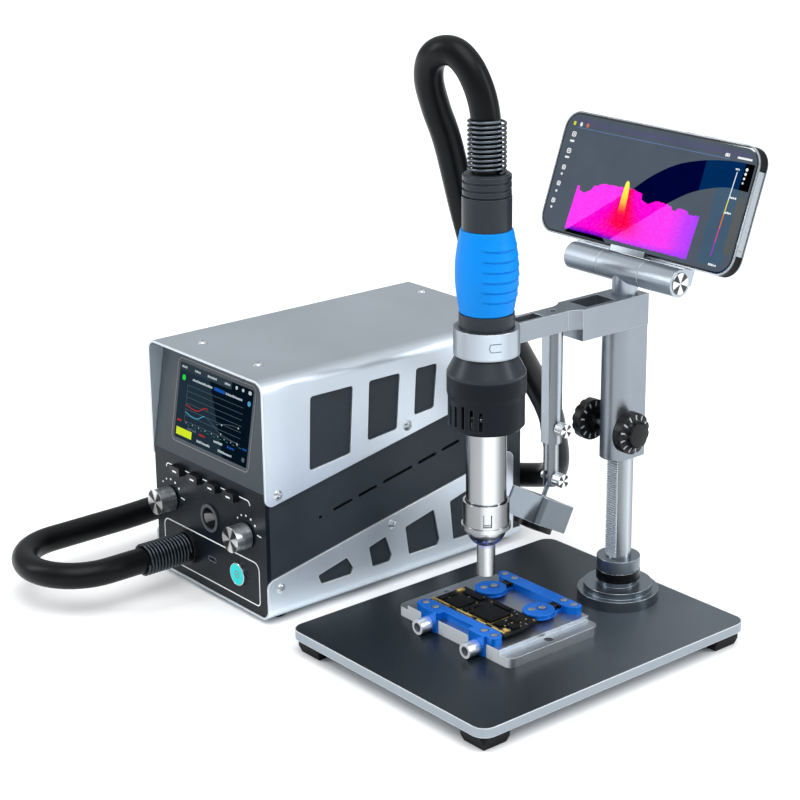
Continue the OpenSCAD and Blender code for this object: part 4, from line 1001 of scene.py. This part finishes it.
def make_display():
    depth = DISPLAY_FRONT - DISPLAY_BACK
    outline = round_box(DISPLAY_W, DISPLAY_H, DISPLAY_R, steps=14)
    steel = Finish("display_steel", srgb(128, 134, 140), metal=1.0, rough=0.3, tint=0.03, grain=900, bump=0.02,
                   edge=0, rough_vary=0.05)
    band = Finish("display_band", srgb(158, 165, 172), metal=0.9, rough=0.34, tint=0.03, grain=900, bump=0.03,
                  edge=0)
    body = Solid()
    body.prism(display, inset(outline, 0.45), -depth + 0.5, -0.5, band.material, edge=0)
    body.ring(display, outline, inset(outline, 0.9), -0.95, -0.05, steel.material)
    body.ring(display, outline, inset(outline, 1.3), -depth + 0.05, -depth + 0.95, steel.material)
    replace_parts(body.done("display_frame", "cradle", "display_black"), "display_slab")

    face = Solid()
    face.prism(display, inset(outline, 0.9), -0.9, 0.0, glass_dark.material, edge=0.35)
    face.prism(display, inset(outline, 0.9), -depth, -depth + 0.9, glass_dark.material, edge=0.35)
    face.done("display_glass", "cradle", "display_black")

    # Dark patches on the frame's corners, thin seams and the two side keys on the top edge
    trim = Solid()
    for cu, cv, start in ((1, 1, -12), (1, -1, -78), (-1, 1, 102), (-1, -1, 168)):
        centre_u, centre_v = cu * (DISPLAY_W / 2 - DISPLAY_R), cv * (DISPLAY_H / 2 - DISPLAY_R)
        sweep = arc(centre_u, centre_v, DISPLAY_R - 0.4, start, start + 90, 12)
        rings = []
        for u, v in sweep:
            way = Vector((u - centre_u, v - centre_v)).normalized()
            rings.append([display.at(u, v, -1.0), display.at(u + way.x * 0.12, v + way.y * 0.12, -1.0),
                          display.at(u + way.x * 0.12, v + way.y * 0.12, -depth + 1.0),
                          display.at(u, v, -depth + 1.0)])
        trim.skin(rings, rubber.material)
    edge_u = DISPLAY_W / 2 - 0.42
    side = Place(display.at(edge_u, -22, -depth / 2), display.v, -display.d)
    trim.bar(side, 0, 0, 0.5, depth - 2, grey_print.material, high=0.06, low=-0.1)
    trim.done("display_trim", "cradle", "display_black")
    keys = Solid()
    top = Place(display.at(0, DISPLAY_H / 2 - 0.45, -depth / 2), display.u, -display.d)
    for u in (20.7, 36):
        keys.prism(top, round_box(11, 2.4, 1.2, u, 0), -0.2, 0.9, band.material, edge=0.25)
    keys.done("display_keys", "cradle", "display_black")
    make_display_picture(outline)
    verts, faces, colours = make_relief()
    painted_piece("thermal_relief", verts, faces, colours, paint_material(), "cradle")
    make_peak()


def make_peak():
    """The hot spike, yellow at its tip and red at its foot, leaning like the relief."""
    colours = []
    stages = [(-18.5, 3.0, (1.0, 0.0, 0.05)), (-16, 2.8, (1.0, 0.03, 0.0)), (-13, 2.7, (1.0, 0.22, 0.0)),
              (-10.5, 2.6, (1.0, 0.5, 0.0)), (-7, 2.5, (1.0, 0.78, 0.0)), (-3, 2.2, (1.0, 0.92, 0.02)),
              (0.4, 1.8, (0.98, 0.95, 0.03)), (2.0, 1.3, (0.95, 0.97, 0.08)), (2.9, 0.6, (0.95, 0.97, 0.12))]
    verts = []
    for depth in (0.34, 0.28):
        for v, half, _ in stages:
            u = -15.2 - 0.04 * (v - 2.8)
            verts += [display.at(u - half, v, depth), display.at(u + half, v, depth)]
    for _ in range(2):
        for _, _, tone in stages:
            colours += [list(tone) + [1.0]] * 2
    count = len(stages) * 2
    faces = []
    for k in range(len(stages) - 1):
        quad = (2 * k, 2 * k + 1, 2 * k + 3, 2 * k + 2)
        faces.append(quad)
        faces.append(tuple(count + i for i in reversed(quad)))
    edge = [2 * k + 1 for k in range(len(stages))] + [2 * k for k in reversed(range(len(stages)))]
    for a, b in zip(edge, edge[1:] + edge[:1]):
        faces.append((a, a + count, b + count, b))
    painted_piece("thermal_peak", verts, faces, colours, paint_material(), "cradle")


def make_display_picture(outline):
    """Slate field with a reflected band across it, blobs, icons and a colour scale."""
    slate, strip, teal, line, navy, marine, dark, stone, white, amber, rose = glows(
        "display", ("slate", 84, 94, 106, 0.95), ("strip", 86, 90, 116, 0.95), ("teal", 72, 98, 120, 0.9),
        ("line", 96, 124, 168, 1.0), ("navy", 0, 4, 54, 1.0), ("marine", 0, 44, 92, 1.0),
        ("dark", 4, 6, 8, 0.6), ("stone", 92, 96, 96, 0.95), ("white", 240, 244, 246, 1.0),
        ("amber", 220, 226, 60, 1.0), ("rose", 214, 120, 90, 1.0))
    scale_tones = glows("display", ("scale_0", 150, 60, 200, 1.0), ("scale_1", 230, 60, 150, 1.0),
                        ("scale_2", 236, 120, 60, 1.0), ("scale_3", 232, 220, 110, 1.0),
                        ("scale_4", 220, 230, 235, 1.0), ("scale_5", 235, 238, 240, 1.0))
    art = Solid()

    def bar(u, v, width, height, tone, low=0.05, high=0.2, radius=0.0):
        art.bar(display, u, v, width, height, tone, high=high, low=low, radius=radius)

    art.prism(display, inset(outline, 2.2), -0.02, 0.05, slate)
    bar(0, 32.4, 146, 3.2, strip, 0.04, 0.08)
    bar(-5.6, 28.6, 127, 0.45, line, 0.04, 0.12)
    bar(63, -10, 18, 48, teal, 0.04, 0.08, 3)
    art.prism(display, round_box(6, 34, 2.6, 74.2, -8.6, 4), 0.06, 0.1, stone)
    # Reflected band that sweeps up to the right edge: deep blue, then sea blue, then black
    upper = smooth_line([(-10.1, -1.1), (2.1, 9.1), (18.4, 18.6), (35.8, 24.1), (53.5, 27.1), (65.6, 28),
                         (77.4, 28)], 42)
    lower = smooth_line([(77.4, 12), (60.5, 12), (46.1, 8.6), (34.9, 4.3), (25.5, -1.1), (15, -8),
                         (6, -14)], 42)
    for start, high, tone in ((-99, 0.13, navy), (40, 0.16, marine), (69.5, 0.19, dark)):
        band = [p for p in upper + lower if p[0] > start]
        art.prism(display, band[::-1], high - 0.04, high, tone)
    art.prism(display, [(-26, -32.9), (-53.1, -32.9), (-57, -36.2), (-21, -36.6)], 0.08, 0.2, dark)
    # Status blobs, icon column, scale and its ticks
    for u, tone in ((-72.3, amber), (-66.5, white), (-60.9, rose)):
        art.prism(display, round_box(2.0, 2.6, 0.9, u, 30.8, 4), 0.1, 0.2, tone)
    for k, v in enumerate((24, 19.6, 13.2, 9.1, 2.5, -1.8, -8, -12.9, -19.1, -23.4)):
        width, height = ((3.4, 3.2), (3.6, 1.3))[k % 2] if k < 4 else ((3.0, 3.0), (1.5, 1.4))[k % 2]
        u = -70.5 - 0.065 * (24 - v)
        if k % 2 == 0:
            frame_line = round_box(width, height, 0.9, u, v, 3)
            art.ring(display, frame_line, inset(frame_line, 0.6), 0.05, 0.2, white)
            bar(u, v, 1.0, 1.0, white, radius=0.3)
        else:
            bar(u, v, width, height, white, radius=0.4)
    bar(68.7, 30.4, 11, 1.2, white)
    glyphs(art, display, 55.3, 30.9, 3.4, 2.4, white, 0.2, 0.05, 41)
    bottom, top = -28.7, 22.2
    height, lean = (top - bottom) / len(scale_tones), 3 / len(scale_tones)
    for k, tone in enumerate(scale_tones):
        start = (62.8 + lean * k, bottom + height * k)
        art.strip(display, [start, (start[0] + lean, start[1] + height)], 0.6, tone, high=0.24, low=0.05)
    for k, (u, v, width) in enumerate(((65.6, 23.8, 3), (67.9, 7, 5), (67, -2.1, 4.6), (65.8, -33.4, 6))):
        glyphs(art, display, u, v, width, 1.3, white, 0.24, 0.05, 50 + k)
    for k in range(4):
        art.prism(display, disc(1.0 - 0.12 * k, 72.4 - 0.2 * k, 24.5 - 2.7 * k, 12), 0.16, 0.24, white)
    art.done("display_picture", "cradle", "display_black")


make_display()


# ---------------------------------------------------------------- stand

FLUTES = 13


def knob_finish(middle):
    """Satin black with a painted highlight in the flutes on the rounded rim."""
    finish = Finish("knob_black", srgb(11, 12, 14), rough=0.3, tint=0.1, bump=0.03, edge=0, specular=0.22)
    across = finish.maths("SUBTRACT", finish.position(1), middle.y)
    up = finish.maths("SUBTRACT", finish.position(2), middle.z)
    radius = finish.maths("SQRT", finish.maths("ADD", finish.times(across, across), finish.times(up, up)))
    turn = finish.times(finish.maths("ARCTAN2", up, across), FLUTES)
    valley = finish.fit(finish.maths("COSINE", turn), 0.72, 0.9)
    inner, outer = finish.fit(radius, 8.6 * MM, 9.2 * MM), finish.fit(radius, 11.6 * MM, 12.2 * MM, 1, 0)
    mask = finish.times(valley, finish.times(inner, outer))
    return finish.mix_in(finish.times(mask, 0.8), srgb(176, 184, 190))


def make_height_knobs():
    """Two round knobs with slanted flutes round a plain cap."""
    low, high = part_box("height_knobs")
    middle = mid("height_knobs")
    reach = (high.x - low.x) / 2 / MM
    knobs = Solid()
    finish = knob_finish(middle)

    def flutes(angle, radius, depth):
        share = max(0.0, min(1.0, (depth - reach + 5.2) / 1.2)) * max(0.0, min(1.0, (radius - 7.6) / 1.4))
        return -1.2 * share * max(0.0, math.cos(FLUTES * angle)) ** 0.7

    for side in (1, -1):
        place = Place(middle, (0, side, 0), (0, 0, 1))
        profile = [(5.5, 10.8), (5.5, reach - 11), (12.4, reach - 11), (13.0, reach - 10.4)]
        profile += [(13.0, reach - 7 + 0.35 * k) for k in range(8)]
        for k in range(9):
            bend = math.pi / 2 * k / 8
            profile.append((13.0 - 5.0 * math.sin(bend), reach - 4.4 + 4.2 * (1 - math.cos(bend))))
        profile += [(7.6, reach - 0.5), (7.3, reach - 0.15), (6.9, reach - 0.02), (0.02, reach - 0.02)]
        knobs.lathe(place, profile, finish.material, steps=182, wave=flutes)
    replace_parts(knobs.done("fluted_knobs", "pinion", "height_knob_black", 40), "height_knobs")


def make_stand_details():
    # Black ring under the clamping collar
    column = Place((COLUMN.x, COLUMN.y, 0), (1, 0, 0), (0, 1, 0))
    ring = Solid()
    ring.lathe(column, [(12.6, 30.0), (13.5, 29.9), (13.95, 30.3), (13.95, 36.3), (13.5, 36.75),
                        (12.6, 36.75)], black_gloss.material, hollow=True)
    ring.done("stop_ring", "root", "height_knob_black")
    # Outlined recess on the arm's ring, facing away from the unit
    recess = Solid()
    mark = [(3.4, 2.3), (-2.2, 2.3), (-3.4, 1.2), (-3.4, -1.2), (-2.2, -2.3), (3.4, -2.3)]
    path = []
    for u, v in smooth_line(mark, 40):
        angle = math.radians(-26) + u / 19.3
        path.append(tool.at(19.28 * math.cos(angle), 19.28 * math.sin(angle), 210.6 + v))
    recess.tube(path, 0.28, grey_metal.material, sides=6)
    recess.done("ring_recess", "carriage", "stand_silver")
    # Lens ring of the thermal camera, on its leaning lower face
    lean = math.radians(28)
    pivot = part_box("rod_screw")
    head = Place((TOOL.x, mid("camera_rod").y, (pivot[0].z + pivot[1].z) / 2), (1, 0, 0),
                 (0, math.cos(lean), -math.sin(lean)))
    lens = Solid()
    lens.lathe(head, [(12.15, -29.4), (12.15, -32.8), (11.8, -33.2), (10.2, -33.2), (9.8, -32.6),
                      (0.02, -32.4)], black_gloss.material)
    lens.lathe(head, [(6.2, -32.3), (6.2, -33.3), (5.4, -33.6), (3.0, -33.2), (0.02, -33.1)],
               glass_dark.material)
    lens.done("lens_ring", "camera_head", "display_black")
    # Joint line round the camera's housing
    seam = Solid()
    outer, inner = round_box(32.16, 28.16, 4), round_box(31.6, 27.6, 3.8)
    seam.ring(head, outer, inner, -27.4, -27.0, grey_metal.material)
    seam.done("camera_seam", "camera_head", "stand_silver")


def make_fixture_details():
    low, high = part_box("front_jaw")
    jaw_u = (low.x + high.x) / 2 / MM - FIXTURE.x / MM
    top = high.z / MM - FIXTURE_FLOOR / MM
    front_v = fixture_local(low.y + 6.2 * MM)
    back_v = fixture_local(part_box("rear_jaw")[1].y - 3.4 * MM)
    for name, body, v in (("front_jaw_pins", "front_jaw", front_v), ("rear_jaw_pins", "root", back_v)):
        pins = Solid()
        for u in (-31.5, -22.5, 22.5, 31.5):
            spot = fixture.moved(u=jaw_u + u, v=v)
            pins.lathe(spot, [(2.3, top - 1), (2.3, top + 0.1), (1.9, top + 0.3), (0.02, top + 0.3)],
                       pin_grey.material, steps=28)
            pins.ring(spot, disc(2.75, steps=28), disc(2.3, steps=28), top - 0.5, top + 0.05,
                      jaw_dark.material)
        pins.done(name, body, "fixture_silver")
    for side, name in ((-1, "left_pad"), (1, "right_pad")):
        pad = mid(name)
        u, v = (pad.x - FIXTURE.x) / MM, (pad.y - FIXTURE.y) / MM
        bits = Solid()
        spot = fixture.moved(u=u, v=v)
        bits.lathe(spot.moved(u=-2.6, v=-3.2), [(2.3, top - 1), (2.3, top + 0.15), (1.9, top + 0.35),
                                                (0.02, top + 0.35)], pin_grey.material, steps=28)
        bits.lathe(spot.moved(v=3), [(2.4, top - 1), (2.4, top + 0.5), (2.0, top + 0.7), (0.02, top + 0.7)],
                   pin_grey.material, steps=28)
        bits.ring(spot.moved(v=3), disc(3.3, steps=28), disc(2.4, steps=28), top - 0.4, top + 0.15,
                  jaw_dark.material)
        bits.prism(spot, round_box(6.6, 5.4, 0.8, 0, 10.4, 3), 11.2, top - 0.3, black_gloss.material, edge=0.3)
        bits.done(name + "_pins", name, "fixture_silver")
    links = Solid()
    for u in (-22, 22):
        links.prism(fixture.moved(u=jaw_u + u, v=28.6), round_box(7.6, 2.6, 0.6, 0, -0.6, 3), top - 2.6,
                    top - 0.5, black_gloss.material, edge=0.3)
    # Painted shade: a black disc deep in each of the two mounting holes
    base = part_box("fixture_base")
    reach = (base[1].x - base[0].x) / 2 / MM - 6
    for u in (-reach, reach):
        links.prism(fixture.moved(u=u), disc(2.9, steps=28), 0.2, 5.6, black_satin.material, edge=0)
    links.done("pad_links", "root", "fixture_silver")


def make_screw_faces():
    """Recessed grey centre in each clamping screw's head."""
    for node in ("left_jaw_screw", "right_jaw_screw"):
        low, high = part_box(node)
        spot = Place((mid(node).x, low.y, mid(node).z), (1, 0, 0), (0, 0, 1))
        socket = Solid()
        socket.lathe(spot, [(2.9, -0.6), (2.9, 0.08), (2.6, 0.12), (2.4, 0.0), (0.02, 0.0)],
                     grey_metal.material, steps=36)
        socket.done(node + "_face", node, "knob_chrome")


def fixture_local(y):
    return (y - FIXTURE.y) / MM


def make_board_parts():
    """Chips, gold edge contacts and small parts on the clamped board."""
    random.seed(5)
    low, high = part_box("circuit_board")
    u0, u1 = (low.x - FIXTURE.x) / MM, (high.x - FIXTURE.x) / MM
    v0, v1 = fixture_local(low.y), fixture_local(high.y)
    deck = low.z / MM - FIXTURE_FLOOR / MM + 1.2
    parts = Solid()
    # Gold strips along the front edge, broken into runs, and lines round the chips
    for a, b, tall in ((0.02, 0.24, 1.6), (0.34, 0.54, 1.3), (0.6, 0.72, 0.6), (0.8, 0.96, 0.5)):
        parts.bar(fixture, u0 + (a + b) / 2 * (u1 - u0), v0 + 2.6, (b - a) * (u1 - u0), 1.3, gold.material,
                  high=deck + tall, low=deck - 0.3)
    for a, b, depth in ((0.02, 0.3, 4.9), (0.4, 0.62, 4.7), (0.7, 0.95, 4.4)):
        parts.bar(fixture, u0 + (a + b) / 2 * (u1 - u0), v0 + depth, (b - a) * (u1 - u0), 0.35, gold.material,
                  high=deck + 0.18, low=deck - 0.3)
    for left, back, wide, deep in ((-26, 19, 14, 14), (-4, 23, 20, 17)):
        cu, cv = (u0 + u1) / 2 + left + wide / 2, v0 + back - deep / 2
        outline = round_box(wide + 1.7, deep + 1.7, 0.8, cu, cv, 3)
        parts.ring(fixture, outline, inset(outline, 0.45), deck - 0.2, deck + 0.12, gold.material)
        parts.prism(fixture, round_box(wide + 0.1, deep + 0.1, 0.5, cu, cv, 3), deck - 0.1, deck + 1.5,
                    chip_black.material, edge=0.2)
    for u, v, wide, deep, tall, tone in (
            (-31, 9, 5, 6, 0.9, chip_black), (-31, 17, 4, 5, 0.8, chip_black), (21, 10, 6, 7, 1.0, chip_black),
            (29, 13, 6, 6, 1.1, chip_black), (23, 20, 7, 5, 0.9, chip_black), (-8.5, 12, 4, 12, 0.8, chip_black),
            (-20, 24.5, 16, 4, 1.2, chip_black), (4, 26.6, 14, 3, 1.3, chip_black), (30, 6, 4, 2.2, 1.0, gold),
            (-32, 24, 3, 5, 1.2, gold)):
        spot = round_box(wide, deep, 0.3, (u0 + u1) / 2 + u, v0 + v, 2)
        parts.prism(fixture, spot, deck - 0.1, deck + tall, tone.material, edge=0.12)
    for _ in range(120):
        u, v = random.uniform(u0 + 1.5, u1 - 3.5), random.uniform(v0 + 3.5, v1 - 1.8)
        wide, deep = random.choice(((1.1, 0.6), (0.6, 1.1), (0.8, 0.5), (1.5, 0.8)))
        tone = random.choice((gold, pin_grey, chip_black, chip_black, chip_black, chip_black))
        tall = random.uniform(0.3, 0.6)
        parts.bar(fixture, u, v, wide, deep, tone.material, high=deck + tall, low=deck - 0.1)
    parts.done("board_parts", "root", "workpiece_board")


make_height_knobs()
make_stand_details()
make_fixture_details()
make_screw_faces()
make_board_parts()


# ---------------------------------------------------------------- studio and camera

def area_light(name, place, target, size, size_y, power, colour=(1, 1, 1)):
    data = bpy.data.lights.new(name, "AREA")
    data.shape = "RECTANGLE"
    data.size, data.size_y = size, size_y
    data.energy = power
    data.color = colour
    thing = bpy.data.objects.new(name, data)
    bpy.context.scene.collection.objects.link(thing)
    thing.location = place
    thing.rotation_euler = (Vector(target) - Vector(place)).to_track_quat("-Z", "Y").to_euler()
    return thing


def make_studio():
    floor_mesh = bpy.data.meshes.new("studio_floor")
    floor_mesh.from_pydata([(-6, -6, 0), (6, -6, 0), (6, 6, 0), (-6, 6, 0)], [], [(0, 1, 2, 3)])
    floor = bpy.data.objects.new("studio_floor", floor_mesh)
    floor.location.z = -0.0002
    bpy.context.scene.collection.objects.link(floor)
    floor_mesh.materials.append(
        Finish("floor_pale", (0.92, 0.925, 0.93, 1), rough=0.7, tint=0.004, cloud=3, grain=60, bump=0.0,
               edge=0, specular=0.0).material)
    world = bpy.data.worlds.new("studio")
    bpy.context.scene.world = world
    world.use_nodes = True
    sky = Shading(world.node_tree)
    rise = sky.part(sky.node("TexCoord").outputs["Generated"], 2)
    light = sky.ramp(rise, [(0.0, (0.52, 0.535, 0.55, 1)), (0.25, (0.44, 0.455, 0.47, 1)),
                            (0.6, (0.86, 0.87, 0.885, 1)), (1.0, grey(1.0))])
    background = sky.tree.nodes["Background"].inputs
    sky.feed(background["Color"], sky.mix(sky.node("LightPath").outputs["Is Camera Ray"], light, grey(1.0)))
    sky.feed(background["Strength"], 1.0)
    sun = bpy.data.lights.new("soft_sun", "SUN")
    sun.energy, sun.angle = 1.9, math.radians(50)
    lamp = bpy.data.objects.new("soft_sun", sun)
    bpy.context.scene.collection.objects.link(lamp)
    lamp.rotation_euler = Vector((-0.55, 0.25, -1.2)).to_track_quat("-Z", "Y").to_euler()
    target = (0.02, 0.0, 0.15)
    area_light("left_strip", (-0.9, -1.2, 1.0), target, 0.16, 1.2, 9)
    area_light("right_strip", (1.4, 0.9, 0.9), target, 0.16, 1.2, 9)


def make_camera():
    data = bpy.data.cameras.new("camera")
    thing = bpy.data.objects.new("camera", data)
    bpy.context.scene.collection.objects.link(thing)
    right = Vector((0.6603, 0.7510, 0.0)).normalized()
    back = Vector((0.7135, -0.6274, 0.3120)).normalized()
    up = back.cross(right).normalized()
    turn = Matrix((right, up, back)).transposed()
    thing.matrix_world = Matrix.Translation((0.9500, -0.7462, 0.5532)) @ turn.to_4x4()
    data.sensor_width = 36
    data.lens = 91.47
    data.shift_x = -0.0885
    data.shift_y = -0.0274
    data.clip_start, data.clip_end = 0.05, 30
    bpy.context.scene.camera = thing


make_studio()
make_camera()
bpy.context.scene.view_settings.view_transform = "Standard"
bpy.context.scene.view_settings.look = "None"
